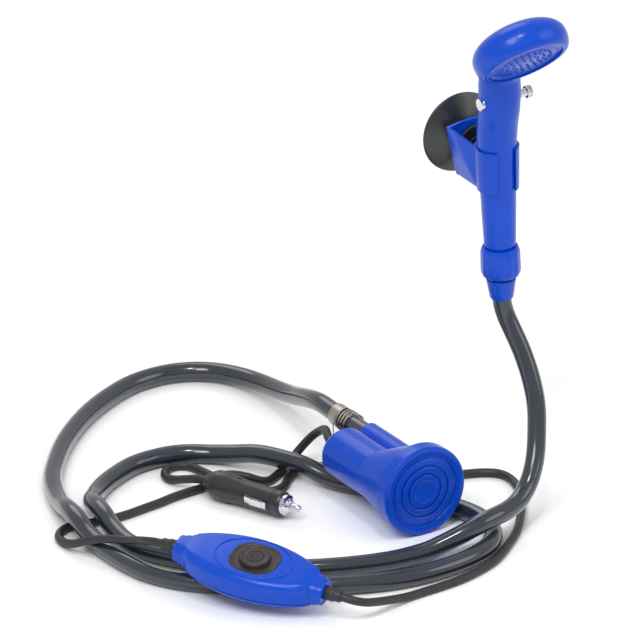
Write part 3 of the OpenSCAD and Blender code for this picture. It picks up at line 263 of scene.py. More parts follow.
# %% Node group: drawn metal
drawn_metal = bpy.data.node_groups.new("drawn_metal", "ShaderNodeTree")
metal_in, metal_out = group_sockets(drawn_metal, [
    ("Colour", "NodeSocketColor", (0.7, 0.7, 0.7, 1)),
    ("Dull Colour", "NodeSocketColor", (0.5, 0.5, 0.5, 1)),
    ("Smooth", "NodeSocketFloat", 0.15),
    ("Rough", "NodeSocketFloat", 0.35),
    ("Lines", "NodeSocketFloat", 0.1)])
metal_place = drawn_metal.nodes.new("ShaderNodeTexCoord").outputs["Object"]
stretch = drawn_metal.nodes.new("ShaderNodeMapping")
stretch.inputs["Scale"].default_value = (1.0, 0.06, 1.0)
stretch.inputs["Rotation"].default_value = (0.0, 0.0, math.radians(3))
drawn_metal.links.new(metal_place, stretch.inputs["Vector"])
scratches = noise(drawn_metal, stretch.outputs["Vector"], 1400.0, 2.0)
tarnish = noise(drawn_metal, metal_place, 120.0, 4.0)
mixed_colour(drawn_metal, spread(drawn_metal, tarnish, 0.0, 1.0),
             metal_in.outputs["Dull Colour"], metal_in.outputs["Colour"],
             metal_out.inputs["Colour"])
drawn_metal.links.new(
    spread(drawn_metal, scratches, metal_in.outputs["Smooth"], metal_in.outputs["Rough"]),
    metal_out.inputs["Roughness"])
bumped(drawn_metal, scratches, metal_in.outputs["Lines"], 0.0001, metal_out.inputs["Normal"])
print("node group", drawn_metal.name, len(drawn_metal.nodes), "nodes")

# %% [markdown]
# Colours are written as the eye reads them in the photograph, from 0 to 255,
# and turned to the linear values that the shader wants. Each finish is one
# Principled shader: the group feeds what varies, and what is the same all
# over, such as the clear gloss on the blue plastic, is set on the shader.

# %% Helpers that make a finish
def linear(red, green, blue):
    def one(value):
        value /= 255
        return value / 12.92 if value <= 0.04045 else ((value + 0.055) / 1.055) ** 2.4
    return one(red), one(green), one(blue), 1.0


def make_finish(name, group, settings, constants):
    material = bpy.data.materials.new(name)
    material.use_nodes = True
    tree = material.node_tree
    shader = tree.nodes["Principled BSDF"]
    effect = tree.nodes.new("ShaderNodeGroup")
    effect.node_tree = group
    effect.location = (-300, 0)
    for socket, value in settings.items():
        effect.inputs[socket].default_value = value
    tree.links.new(effect.outputs["Colour"], shader.inputs["Base Color"])
    tree.links.new(effect.outputs["Roughness"], shader.inputs["Roughness"])
    tree.links.new(effect.outputs["Normal"], shader.inputs["Normal"])
    for socket, value in constants.items():
        shader.inputs[socket].default_value = value
    material.diffuse_color = settings["Colour"]
    return material


def moulded(name, colour, shade, smooth, rough, grain_depth, grain_scale=900.0, **constants):
    return make_finish(name, moulded_skin, {
        "Colour": linear(*colour), "Shadow Colour": linear(*shade), "Smooth": smooth,
        "Rough": rough, "Grain": grain_depth, "Grain Scale": grain_scale}, constants)


def metal(name, colour, dull, smooth, rough, lines, **constants):
    return make_finish(name, drawn_metal, {
        "Colour": linear(*colour), "Dull Colour": linear(*dull), "Smooth": smooth,
        "Rough": rough, "Lines": lines}, {"Metallic": 1.0, **constants})


# %% [markdown]
# The set is made of glossy blue and black plastic, three kinds of rubber, a
# vinyl hose, and steel, chrome and brass. Each CAD node names its material
# slot, so one list from slot to finish dresses all of them at once, and
# nothing is left in the plain grey of the CAD.

# %% The finishes
blue_gloss = moulded("blue_gloss", (0, 70, 192), (0, 65, 184), 0.24, 0.32, 0.04,
                     **{"Coat Weight": 0.12, "Coat Roughness": 0.14,
                        "Specular IOR Level": 0.24})
black_plastic = moulded("black_plastic", (40, 41, 44), (34, 35, 38), 0.3, 0.42, 0.1,
                        **{"Coat Weight": 0.1, "Coat Roughness": 0.25})
pad_plastic = moulded("pad_plastic", (50, 44, 42), (42, 37, 36), 0.36, 0.48, 0.14,
                      grain_scale=1500.0)
cup_rubber = moulded("cup_rubber", (32, 33, 35), (26, 27, 29), 0.3, 0.4, 0.05,
                     grain_scale=700.0, **{"Coat Weight": 0.35, "Coat Roughness": 0.2})
seal_rubber = moulded("seal_rubber", (32, 32, 33), (26, 26, 27), 0.5, 0.65, 0.1)
hose_vinyl = moulded("hose_vinyl", (40, 46, 57), (34, 39, 49), 0.14, 0.2, 0.03,
                     **{"Coat Weight": 0.6, "Coat Roughness": 0.07})
cord_rubber = moulded("cord_rubber", (40, 40, 43), (32, 32, 35), 0.4, 0.55, 0.14,
                      grain_scale=1300.0)
warm_steel = metal("warm_steel", (186, 178, 166), (158, 150, 138), 0.26, 0.42, 0.2)
bright_chrome = metal("bright_chrome", (226, 226, 230), (206, 206, 211), 0.08, 0.18, 0.05)
turned_brass = metal("turned_brass", (205, 170, 96), (176, 142, 76), 0.2, 0.36, 0.1)
of_slot = {
    "blue_plastic": blue_gloss, "black_plastic": black_plastic, "pad_plastic": pad_plastic,
    "cup_rubber": cup_rubber, "seal_rubber": seal_rubber, "hose_vinyl": hose_vinyl,
    "cord_rubber": cord_rubber, "steel": warm_steel, "chrome": bright_chrome,
    "brass": turned_brass}
for subpart in frame["record"]["subparts"]:
    node = nodes[subpart["node"]]
    node.data.materials.clear()
    node.data.materials.append(of_slot[subpart["material_slot"]])
print("finishes:", len(of_slot))

# %% [markdown]
# The hose and the two cords have to be right first, because the room that
# they take is checked. Each is laid along listed points, the same as in the
# part's source, in millimetres above the ground. A curve with a round bevel
# makes the tube: Blender keeps its thickness even through every bend.
# Between the points the line is rounded by a cubic that passes through them.

# %% Helpers for the routes
def rounded_line(points, steps=4):
    """Points of a smooth line through the given points, in metres."""
    ends = [2 * points[0] - points[1]] + points + [2 * points[-1] - points[-2]]
    line = []
    for back, here, ahead, beyond in zip(ends, ends[1:], ends[2:], ends[3:]):
        step = (ahead - here).length
        leave = (ahead - back) * (step / (ahead - back).length)
        arrive = (beyond - here) * (step / (beyond - here).length)
        for k in range(steps):
            t = k / steps
            line.append(here * (2 * t**3 - 3 * t**2 + 1) + leave * (t**3 - 2 * t**2 + t)
                        + ahead * (3 * t**2 - 2 * t**3) + arrive * (t**3 - t**2))
    return line + [points[-1]]


def route(points, start, stop, radius):
    """A smooth line over the placed points, never lower than the ground allows."""
    laid = [Vector((x * mm, y * mm, floor_z + height * mm)) for x, y, height in points]
    line = rounded_line([start] + laid + [stop])
    for point in line:
        point.z = max(point.z, floor_z + radius * mm)
    return line


def length_of(line):
    return sum((b - a).length for a, b in zip(line, line[1:]))


def laid_curve(name, line, radius, material, sides, body=None):
    """A round tube along a line, as a curve of one open spline."""
    curve = bpy.data.curves.new(name, "CURVE")
    curve.dimensions = "3D"
    curve.bevel_depth = radius * mm
    curve.bevel_resolution = sides
    curve.use_fill_caps = True
    spline = curve.splines.new("POLY")
    spline.points.add(len(line) - 1)
    for spot, point in zip(spline.points, line):
        spot.co = (*point, 1)
    spline.use_smooth = True
    obj = linked(name, curve)
    curve.materials.append(material)
    if body:
        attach(obj, body)
    return obj


def as_mesh(curve_obj):
    """The same tube as a mesh."""
    evaluated = curve_obj.evaluated_get(bpy.context.evaluated_depsgraph_get())
    mesh = bpy.data.meshes.new_from_object(evaluated)
    name = curve_obj.name
    bpy.data.objects.remove(curve_obj)
    mesh.name = name
    mesh.shade_smooth()
    return linked(name, mesh)


# %% [markdown]
# These are the placed points of the three routes, each as x, y and the height
# over the ground. A hose that was dropped on the ground follows no formula, so
# its loops were placed one by one until they lay as in the photograph.

# %% The routes
hose_points = [
    (5, -60.7, 165.5), (7, -63, 156), (10, -68, 145), (13.5, -77, 129), (15.5, -87, 110),
    (15, -96.5, 90), (10, -106, 69), (4, -114, 53), (-4, -121, 41), (-12, -126, 33),
    (-22, -132, 28), (-36, -139, 26), (-52, -145, 26), (-68, -148, 24), (-83, -148, 19.5),
    (-97, -146, 14.5), (-112, -144, 10), (-128, -142, 8), (-147, -140.5, 7.75),
    (-172, -135, 7.75), (-201, -125, 7.75), (-228, -111, 7.75), (-252, -93, 7.75),
    (-275, -72, 7.75), (-292, -50, 7.75), (-304, -30, 7.75), (-310, -6, 8), (-310, 18, 11),
    (-308, 36, 15.5), (-305, 52, 15.5), (-300, 68, 12), (-290, 82, 8.5), (-275, 96, 7.75),
    (-256, 108, 7.75), (-234, 118, 7.75), (-212, 121, 7.75), (-190, 118, 7.75), (-171, 107, 7.75),
    (-157, 92, 10.5), (-145, 73, 15.5), (-133, 54, 15.8), (-122, 35, 14.5), (-112, 19, 9.5),
    (-103, 5, 7.75), (-84, -23, 7.75), (-66, -51, 7.75), (-52, -75, 7.75), (-44, -96, 7.75),
    (-42, -114, 7.75), (-46, -132, 7.75), (-56, -149, 7.75), (-71, -161, 7.75), (-93, -170, 7.75),
    (-118, -175, 7.75), (-143, -176, 7.75), (-166, -173, 7.75), (-190, -166, 7.75),
    (-218, -155, 7.75), (-245, -140, 7.75), (-270, -124, 7.75), (-293, -106, 7.75),
    (-311, -87, 7.75), (-324, -64, 7.75), (-330, -38, 7.75), (-332, -9, 7.75), (-332.5, 17, 10.5),
    (-331, 38, 15.5), (-328, 56, 15.5), (-322, 78, 10.5), (-313, 104, 7.75), (-301, 130, 7.75),
    (-284, 154, 7.75), (-265, 177, 7.75), (-243, 199, 7.75), (-216, 221, 7.75), (-187, 239, 7.75),
    (-157, 252, 7.75), (-128, 255, 7.75), (-105, 249, 8), (-88, 236, 8.5), (-77, 216, 10),
    (-72, 191, 13), (-72, 164, 18), (-74, 137, 25), (-78, 108, 35), (-81, 83, 42),
    (-81.2, 58, 42.9), (-80.2, 38, 42.9)]
plug_cord_points = [
    (-206, 63, 11.5), (-211, 74, 8), (-216, 85, 4.5), (-217, 94, 3.5), (-213, 102, 3.5),
    (-206, 107, 3.5), (-198, 107, 3.5), (-191, 102, 3.5), (-188, 93, 3.5), (-185, 80, 3.5),
    (-181, 65, 3.5), (-177, 52, 3.5), (-172, 41, 3.5), (-165, 32, 3.5), (-155, 28, 3.5),
    (-145, 31, 3.5), (-136, 40, 3.5), (-125, 49, 3.5), (-113, 55, 3.5), (-102, 51, 3.5),
    (-93, 42, 3.5), (-81, 27, 3.5), (-65, 11, 3.5), (-45, -4, 3.5), (-23, -17, 3.5),
    (-7, -21, 3.5), (7, -26, 3.5), (17, -34, 3.5), (20, -46, 3.5), (18, -60, 3.5), (13, -75, 3.5),
    (4, -92, 3.5), (-7, -110, 3.5), (-25, -135, 3.5), (-45, -155, 3.5), (-66, -173, 3.5),
    (-87, -184, 3.5), (-110, -192, 3.5), (-133, -196, 3.5), (-150, -198, 3.5), (-166, -201, 4.5),
    (-183, -206, 8), (-199, -212, 12.5), (-211, -215, 16), (-219, -212, 18)]
pump_cord_points = [
    (-321, -64, 34.5), (-323, -54, 31.5), (-323, -42, 27), (-325, -30, 22.5), (-332, -19, 21),
    (-339, -9, 18.5), (-345, 2, 13.5), (-349, 13, 8), (-350.5, 25, 4.5), (-349, 36, 3.5),
    (-343, 45, 3.5), (-334, 50, 3.5), (-322, 50, 3.5), (-308, 48, 3.5), (-292, 47, 3.5),
    (-278, 48, 3.5), (-262, 51, 3.5), (-246, 54, 3.5), (-230, 58, 3.5), (-216, 60, 3.5),
    (-205, 61, 3.5), (-196, 62, 5), (-188, 61, 9.5), (-181, 58, 11.5), (-174, 53, 11.5),
    (-167, 48, 10), (-160, 45, 7), (-152, 45, 4.5), (-144, 49, 3.5), (-135, 55, 3.5),
    (-126, 61, 3.5), (-117, 66, 7), (-108, 66, 15.5), (-102, 60, 26), (-99, 52, 33.5),
    (-99, 44, 38), (-102, 36, 39), (-105, 28, 38.5)]

# %% [markdown]
# A route starts and ends at the mouths of the pieces that hold it: the
# handset's sleeve, the pump's duct and gland, the plug's tail and both ends of
# the switch. These mouths come from the frames of the units, so the ends still
# meet if a unit is moved. The cords run on a little way inside the switch.

# %% Lay the hose and the cords
hose_radius, cord_radius = 7.75, 3.5
duct_middle, gland_middle = (4.9, 15.4), (-1, -12.5)
sleeve_mouth = point_on(hung, 0, -60, -123.8)
duct_mouth = point_on(pump_frame, *duct_middle, 106)
gland_mouth = point_on(pump_frame, *gland_middle, 118)
plug_tail = standing_at(-201.7, 54.1, 12.3).translation
switch_left, into_left = (point_on(switch_frame, x, 0, 0) for x in (-80, -68))
switch_right, into_right = (point_on(switch_frame, x, 0, 0) for x in (80, 68))
hose_line = route(hose_points, sleeve_mouth, duct_mouth, hose_radius)
plug_cord_line = route(plug_cord_points, plug_tail, switch_right, cord_radius) + [into_right]
pump_cord_line = [into_left] + route(pump_cord_points, switch_left, gland_mouth, cord_radius)
hose = as_mesh(laid_curve("shower_hose", hose_line, hose_radius, hose_vinyl, 8))
plug_cord = laid_curve("plug_cord", plug_cord_line[::-1], cord_radius, cord_rubber, 5,
                       "base")
pump_cord = laid_curve("pump_cord", pump_cord_line[::-1], cord_radius, cord_rubber, 5,
                       "base")
for word, line in (("hose", hose_line), ("plug cord", plug_cord_line),
                   ("pump cord", pump_cord_line)):
    print(word, round(length_of(line), 4), "m")

# %% [markdown]
# The handset is one flowing shape, so it starts as a few simple closed solids
# that overlap: a handle lofted through circles, a lathed head and a lathed
# end. A voxel remesh melts them into one skin and a few rounds of smoothing
# soften the joins. The openings are cut last, so that their edges stay crisp.
# A subdivided cage could make it too, but the bend into the head is hard to
# steer there, while circles along the handle follow it directly.

# %% Helpers for lofts, joins and cuts
def loft(sections, segments=48, shape=None):
    """Bridges circles. Each section: centre, tilt about X in degrees, half sizes."""
    bm = bmesh.new()
    loops = []
    for centre, tilt, across, along in sections:
        place = (Matrix.Translation(Vector(centre) * mm) @ turned(tilt, "X")
                 @ Matrix.Diagonal((across * mm, along * mm, 1, 1)))
        made = bmesh.ops.create_circle(bm, segments=segments, radius=1)["verts"]
        if shape:
            shape(made, across, along)
        bmesh.ops.transform(bm, matrix=place, verts=made)
        loops.append(list({edge for vert in made for edge in vert.link_edges}))
    for low, high in zip(loops, loops[1:]):
        bmesh.ops.bridge_loops(bm, edges=low + high)
    bmesh.ops.holes_fill(bm, edges=loops[0] + loops[-1], sides=0)
    bmesh.ops.recalc_face_normals(bm, faces=bm.faces)
    return bm


def loose(name, bm, place):
    """A helper object that a modifier reads and that is removed afterwards."""
    bmesh.ops.transform(bm, matrix=place, verts=bm.verts)
    bmesh.ops.recalc_face_normals(bm, faces=bm.faces)
    return linked(name, mesh_from(name, bm))


def join(bm, other):
    """Adds a second bmesh to the first, with no cut where they meet."""
    bm.from_mesh(mesh_from("joined_part", other))


def join_wire(bm, name, line, radius, material, sides):
    wire = as_mesh(laid_curve(name, line, radius, material, sides))
    bm.from_mesh(wire.data)
    bpy.data.objects.remove(wire)


def baked(obj):
    """Returns the object's mesh with its modifiers applied, as a bmesh."""
    evaluated = obj.evaluated_get(bpy.context.evaluated_depsgraph_get())
    bm = bmesh.new()
    bm.from_mesh(evaluated.to_mesh())
    evaluated.to_mesh_clear()
    bpy.data.objects.remove(obj)
    return bm


def cut_away(bm, cutters):
    """Cuts the closed cutters out of a closed bmesh with exact booleans."""
    obj = loose("being_cut", bm, Matrix.Identity(4))
    for cutter in cutters:
        step = obj.modifiers.new("cut", "BOOLEAN")
        step.operation = "DIFFERENCE"
        step.solver = "EXACT"
        step.object = cutter
    bpy.context.view_layer.update()
    result = baked(obj)
    for cutter in cutters:
        bpy.data.objects.remove(cutter)
    return result


# %% Outlines of the handset
head_radius, head_back = 40.5, 19.5
under_handle = hung @ moved(0, -60, 0)
head_place = hung @ moved(0, -104, 114.5) @ turned(134, "X")


def handle_radius(z):
    """The handle widens evenly from its nut up to the bend."""
    return 13 + 3.8 * (z + 76.5) / 112.5


handle_loops = [((0, -60, -76.5), 0, 12.2, 12.2), ((0, -60, -75.5), 0, 13, 13)]
handle_loops += [((0, -60, z), 0, handle_radius(z), handle_radius(z)) for z in (-50, -20, 5)]
handle_loops += [((0, -60.6, 20), 5, 16.5, 16.4), ((0, -62.6, 34), 10, 16.8, 16.7),
                 ((0, -65.6, 47), 12, 17.1, 17.1), ((0, -67.6, 59), 5, 17.2, 17.2),
                 ((0, -68, 70), 2, 17.2, 17.2), ((0, -69.4, 80), 14, 16.7, 16.9),
                 ((0, -74, 90), 28, 15.6, 15.8), ((0, -81, 99), 40, 13.8, 14.2),
                 ((0, -90, 107), 46, 12.6, 12.6)]
head_profile = [(0, -head_back)]
for angle in range(80, 0, -10):
    turn = math.radians(angle)
    head_profile.append((head_radius * math.cos(turn) ** 0.8,
                         -head_back * math.sin(turn) ** 0.9))
head_profile += [(head_radius, 0), (40.2, 3.5), (39.3, 7.5), (37.6, 10.8), (35.4, 12.5),
                 (0, 12.5)]
print("handle circles:", len(handle_loops), "head points:", len(head_profile))

# %% Melt the handset into one skin
voxel_size, smoothing_rounds = 1.0, 10
blank = bmesh.new()
for solid in (loose("handle", loft(handle_loops, 64), hung),
              loose("head", lathe(head_profile, 96), head_place),
              loose("spigot", rod(11.5, -90, -76, 64), under_handle)):
    blank.from_mesh(solid.data)
    bpy.data.objects.remove(solid)
blank = loose("handset_blank", blank, Matrix.Identity(4))
remesh = blank.modifiers.new("melt", "REMESH")
remesh.mode = "VOXEL"
remesh.voxel_size = voxel_size * mm
bpy.context.view_layer.update()
skin = baked(blank)
for _ in range(smoothing_rounds):
    bmesh.ops.smooth_vert(skin, verts=skin.verts, factor=0.5,
                          use_axis_x=True, use_axis_y=True, use_axis_z=True)
print("melted faces:", len(skin.faces))

# %% [markdown]
# Four openings go into the skin: the recess of the spray plate, the bore of
# the flow pin with a wider one for its cap, and the water way in the handle.
# Exact booleans cut them as clean circles, which the remesh would have rounded.

# %% Cut the handset's openings
pin_place = hung @ moved(0, -68, 56) @ turned(90, "Y")
recess = lathe([(0, -8), (29, -8), (29, 7.5), (32.05, 7.5), (32.05, 20), (0, 20)], 96)
skin = cut_away(skin, [
    loose("recess", recess, head_place),
    loose("pin_bore", rod(3.55, -30, 30, 48), pin_place),
    loose("cap_bore", rod(5.3, -30, -14.7, 48), pin_place),
    loose("water_way", rod(6, -95, 35, 48), under_handle)])
handset_skin = new_piece("handset_skin", skin, Matrix.Identity(4), blue_gloss, "handset",
                         38)
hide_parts("handset_shell")
print("handset skin faces:", len(handset_skin.data.polygons))

# %% [markdown]
# The spray plate carries small nozzles in four rings, and the plate under them
# is a lathe with a raised middle. Each nozzle is a short cone whose top is
# inset and sunk, which gives its hole an edge that catches light, as a dark
# spot in a material would not.

# %% Spray plate
nozzle_rings, nozzles_in_first, ring_step = 4, 6, 5.4
plate = lathe([(0, 8.5), (31.9, 8.5), (31.9, 10.6), (31.5, 11), (29.4, 11), (28.8, 10.4),
               (27.6, 10.4), (27, 11), (24.6, 11), (24, 11.4), (0, 11.8)], 96)
nozzles = bmesh.new()
for ring in range(1, nozzle_rings + 1):
    count = ring * nozzles_in_first
    for k in range(count):
        spot = (Matrix.Rotation(math.tau * k / count, 4, "Z")
                @ moved(ring * ring_step, 0, 11.7))
        cone = bmesh.ops.create_cone(nozzles, cap_ends=True, segments=16, radius1=1.3 * mm,
                                     radius2=0.9 * mm, depth=0.8 * mm)["verts"]
        bmesh.ops.transform(nozzles, matrix=spot, verts=cone)
        top = [f for f in {f for v in cone for f in v.link_faces}
               if len(f.verts) == 16 and f.normal.z > 0.9]
        bmesh.ops.inset_region(nozzles, faces=top, thickness=0.35 * mm)
        bmesh.ops.translate(nozzles, verts=top[0].verts, vec=(0, 0, -0.3 * mm))
join(plate, nozzles)
spray_face = new_piece("spray_face", plate, head_place, blue_gloss, "handset")
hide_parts("spray_plate")
print("spray face faces:", len(spray_face.data.polygons))

# %% [markdown]
# Round parts are lathes. The suction cup is a thin cone that flares to a lip,
# with a boss in its middle, and its knob is a disc on a short stem. The union
# nut gets shallow flutes for the fingers: every vertex on its outside is pushed
# in by a cosine of its angle, which is softer than cutting twelve grooves.

# %% Suction cup, knob, nut and sleeve
on_wall = turned(90, "X")
cup_profile = [(0, 3.5), (14, 3.1), (24, 2), (31, 0.7), (33, 0.05), (33.7, 0), (34, 0.4),
               (33.9, 1), (33.2, 1.7), (31.5, 2.6), (28, 4.3), (24, 6.2), (20, 8.1), (16.5, 9.6),
               (14, 10.8), (12, 11.9), (10.4, 12.7), (9, 13), (0, 13)]
cup = new_piece("suction_cup_skin", lathe(cup_profile, 128), on_wall, cup_rubber,
                "suction_cup", 30)
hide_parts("suction_cup")
knob_profile = [(0, 13), (7, 13), (5.6, 13.6), (5, 15), (5, 23), (14.6, 23), (15.4, 23.3),
                (15.8, 24.1), (15.8, 26), (15.4, 26.7), (14.6, 27), (13.4, 27), (12.9, 26.5),
                (6, 26.4), (5.4, 26.9), (0, 27)]
knob = new_piece("cup_knob", lathe(knob_profile, 96), on_wall, cup_rubber, "suction_cup",
                 30)
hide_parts("cup_stud")
nut_profile = [(7.1, -103), (13.4, -103), (14.6, -102.4), (15.6, -101), (16.1, -99),
               (16.2, -96), (16, -84), (15.8, -81), (15, -79), (14.4, -77.8), (13.9, -77.5),
               (12.1, -77.5), (12.1, -95.8), (7.1, -95.8)]
nut = lathe(nut_profile, 144)
flutes, flute_depth, fluted_from = 12, 0.45, 15.3
for vert in nut.verts:
    radius = math.hypot(vert.co.x, vert.co.y)
    if radius > fluted_from * mm:
        turn = math.atan2(vert.co.y, vert.co.x)
        dip = 0.5 * (1 - math.cos(flutes * turn)) * flute_depth * mm
        vert.co.xy *= (radius - dip) / radius
nut = new_piece("union_nut_skin", nut, under_handle, blue_gloss, "union_nut", 30)
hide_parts("union_nut")
sleeve_profile = [(5.05, -123.5), (8.4, -123.5), (9, -123.2), (9.6, -122), (10.6, -116),
                  (11.7, -109), (12.3, -106.2), (12.2, -105.3), (11.7, -105), (5.05, -105)]
sleeve = new_piece("sleeve_skin", lathe(sleeve_profile, 96), under_handle, blue_gloss,
                   "handset", 30)
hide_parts("hose_sleeve")
print("cup, knob, nut and sleeve made")

# %% [markdown]
# The strainer cap's face is a set of rings with narrow gaps between them, so
# its profile steps in and out. The wall behind the face is kept thin.

# %% Strainer cap
cap_profile = [(0, 1.4), (5, 1.2), (9.4, 0.7), (10.2, 0.3), (13.4, 0.3), (14, 0.7), (14.2, 1.9),
               (15.6, 1.9), (15.8, 0.8), (16.4, 0.4), (20.2, 0.4), (20.8, 0.8), (21, 2),
               (22.4, 2), (22.6, 0.9), (23.2, 0.5), (27.4, 0.5), (28, 0.9), (28.2, 2.1),
               (29.8, 2.1), (30.4, 1.3), (32.4, 0.3), (34.6, 0), (36.2, 0.1), (37.4, 0.7),
               (38, 1.8), (38, 12.2), (37.6, 13), (34.85, 13), (34.85, 3.2), (34, 2.6), (0, 2.6)]
cap = new_piece("strainer_skin", lathe(cap_profile, 144), pump_frame, blue_gloss,
                "strainer_cap", 25)
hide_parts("strainer_cap")
print("strainer cap faces:", len(cap.data.polygons))

# %% [markdown]
# Wires are curves. The clamp spring is a helix round the hose, and the tie
# wire is a ring round the gland that runs up to the band on the hose. A torus
# for each turn would be simpler, but its turns would not join up.

# %% Clamp spring and tie wire
spring_turns, spring_radius, spring_start, spring_rise = 4, 9.1, 127.05, 15
turn_steps = 40
helix = []
for k in range(turn_steps * spring_turns + 1):
    turn = math.tau * k / turn_steps
    helix.append(point_on(pump_frame, duct_middle[0] + spring_radius * math.cos(turn),
                          duct_middle[1] + spring_radius * math.sin(turn),
                          spring_start + spring_rise * k / turn_steps / spring_turns))
coil = laid_curve("clamp_coil", helix, 0.65, warm_steel, 3, "base")
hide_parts("clamp_spring")
tie_radius, leaves_ring, meets_band, tie_sag = 6.56, 5.5, 2.9, 1.4
tie = []
for k in range(33):
    turn = math.tau * k / 32
    tie.append(point_on(pump_frame, gland_middle[0] + tie_radius * math.cos(turn),
                        gland_middle[1] + tie_radius * math.sin(turn), 115.5 + 0.02 * k))
for k in range(1, 9):
    t = k / 8
    sag = tie_sag * math.sin(math.pi * t)
    tie.append(point_on(pump_frame, leaves_ring + (meets_band - leaves_ring) * t + sag,
                        gland_middle[1] + 18.1 * t, 116.2 + 27.8 * t))
tie_loop = laid_curve("tie_loop", tie, 0.5, warm_steel, 3, "base")
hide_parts("tie_wire")
print("wires:", coil.name, tie_loop.name)

# %% [markdown]
# The switch is a loft through rounded sections: it is full in the middle and
# steps down to two collars. A box with a bevel and a taper would come near,
# but the bowed sides and the steps are easier to place section by section.
# The ridge that frames the pad is a wire on the top that dips at the shoulders.

# %% Helpers for the switch
side_arc, half_width, half_height, half_length = 120.74, 29, 13.2, 53.5
end_drop, edge_round, shell_wall = 1.5, 8.4, 2.2
along_switch = turned(90, "Y")


def body_section(x):
    """Half width and half height of the body at a distance from its middle."""
    wide = math.sqrt(side_arc**2 - x * x) - side_arc + half_width
    return wide, half_height - end_drop * (x / half_length) ** 2


def rounded(corner):
    """Turns a unit circle to a box with round corners, for the loft."""
    def shape(verts, across, along):
        for vert in verts:
            x, y = vert.co.x, vert.co.y
            vert.co.x = (math.copysign(across - corner, x) + corner * x) / across
            vert.co.y = (math.copysign(along - corner, y) + corner * y) / along
    return shape


def switch_blank(inset):
    """Sections stand on their edge: the loft's Z runs along the switch."""
    shorter = 3 if inset else 0
    collar = [(66, 10.9, 9), (65.4, 11.4, 9.4), (61.2, 11.7, 9.7), (60.8, 12.3, 10.2),
              (56.4, 12.9, 10.6), (56, 13.8, 11), (54.2, 14.6, 11.3), (53.2, 16.2, 11.6)]
    half = [(x - shorter, wide - inset, high - inset) for x, wide, high in collar]
    for x in (46, 38, 28, 18, 9):
        wide, high = body_section(x)
        half.append((x, wide - inset, high - inset))
    wide, high = body_section(0)
    sections = ([((0, 0, -x), 0, high, wide) for x, wide, high in half]
                + [((0, 0, 0), 0, high - inset, wide - inset)]
                + [((0, 0, x), 0, high, wide) for x, wide, high in reversed(half)])
    return loft(sections, 96, rounded(edge_round - inset))


def switch_band(inset, low, high):
    """What lies between two heights of the switch's form, closed again."""
    band = switch_blank(inset)
    bmesh.ops.transform(band, matrix=along_switch, verts=band.verts)
    for height, normal in ((low, -1), (high, 1)):
        bmesh.ops.bisect_plane(band, geom=band.verts[:] + band.edges[:] + band.faces[:],
                               dist=1e-6, plane_co=(0, 0, height * mm),
                               plane_no=(0, 0, normal), clear_outer=True)
        bmesh.ops.holes_fill(band, edges=[e for e in band.edges if e.is_boundary], sides=0)
    return band


def switch_room():
    """Cutters for the room inside the shells and the way of the cords."""
    return [loose("hollow", switch_blank(shell_wall), along_switch),
            loose("cord_way", rod(4.4, -70, 70, 48), along_switch)]


def ridge_line():
    """An oval that lies on the top of the body and dips over its shoulder."""
    line = []
    for k in range(97):
        turn = math.tau * k / 96
        x, y = 2 + 33 * math.cos(turn), 23.2 * math.sin(turn)
        wide, high = body_section(x)
        over = max(abs(y) - (wide - edge_round), 0)
        top = high - edge_round + math.sqrt(max(edge_round**2 - over**2, 0))
        line.append(Vector((x, y, top)) * mm)
    return line


print("switch at its middle:", body_section(0), "at its end:", body_section(half_length))

# %% [markdown]
# The real switch is two shells that meet at a seam. The same form is cut into
# an upper and a lower band with a narrow gap, each is hollowed by a smaller
# loft, and an inner lip closes the gap. So the seam is a real groove, and it
# shows in any light.

# %% Switch shells
pad_x, pad_corner, screw_x = 3, 15, 43
opening = loft([((pad_x, 0, z), 0, 20.5, 18.25) for z in (4, 20)], 96, rounded(pad_corner))
upper = cut_away(switch_band(0, -5.5, 30),
                 switch_room() + [loose("pad_opening", opening, Matrix.Identity(4))])
join_wire(upper, "ridge", ridge_line(), 0.75, blue_gloss, 4)
switch_top = new_piece("switch_top_skin", upper, switch_frame, blue_gloss, "base",
                       32)
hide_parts("switch_top_shell")
screw_ways = [loose("screw_way", rod(3.2, -20, -10, 32), moved(screw_x * side, 0, 0))
              for side in (-1, 1)]
lower = cut_away(switch_band(0, -30, -6.5), switch_room() + screw_ways)
join(lower, cut_away(switch_band(1, -7.5, -5.7), switch_room()))
switch_bottom = new_piece("switch_bottom_skin", lower, switch_frame, blue_gloss, "base",
                          32)
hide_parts("switch_bottom_shell")
print("switch shells:", len(switch_top.data.polygons), len(switch_bottom.data.polygons))

# %% [markdown]
# The pad is a crowned oval with a raised rim, and the button in it carries a
# ring and a power symbol: an arc that is open at the top and a short bar. Both
# are curves with a round bevel, turned to meshes and joined to the button.

# %% Button pad and push button
pad_rows = [(9, 20.4, 18.1), (12.9, 20.4, 18.1), (13.4, 20.1, 17.8), (13.5, 19.6, 17.3),
            (13.2, 19, 16.7), (12.7, 18.5, 16.2), (12.6, 17.4, 15.4)]
pad = loft([((pad_x, 0, z), 0, across, along) for z, across, along in pad_rows], 96,
           rounded(pad_corner))
pad = cut_away(pad, [loose("button_way", rod(12.9, 0, 30, 96), moved(pad_x, 0, 0))])
pad = new_piece("button_pad_skin", pad, switch_frame, pad_plastic, "base", 35)
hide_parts("button_pad")
button_profile = [(0, 6.8), (14.1, 6.8), (14.1, 8.3), (12.6, 8.3), (12.6, 15.4), (12.3, 16.2),
                  (11.6, 16.7), (10.8, 16.7), (10.3, 16.3), (7.6, 16.1), (7.2, 16.3), (7, 16.8),
                  (6.4, 16.9), (6, 16.6), (5.8, 16.1), (0, 16)]
button = lathe(button_profile, 96)
join(button, rod(3, 2.8, 6.9, 32))
symbol_height, symbol_radius = 16.15, 3.1
arc = []
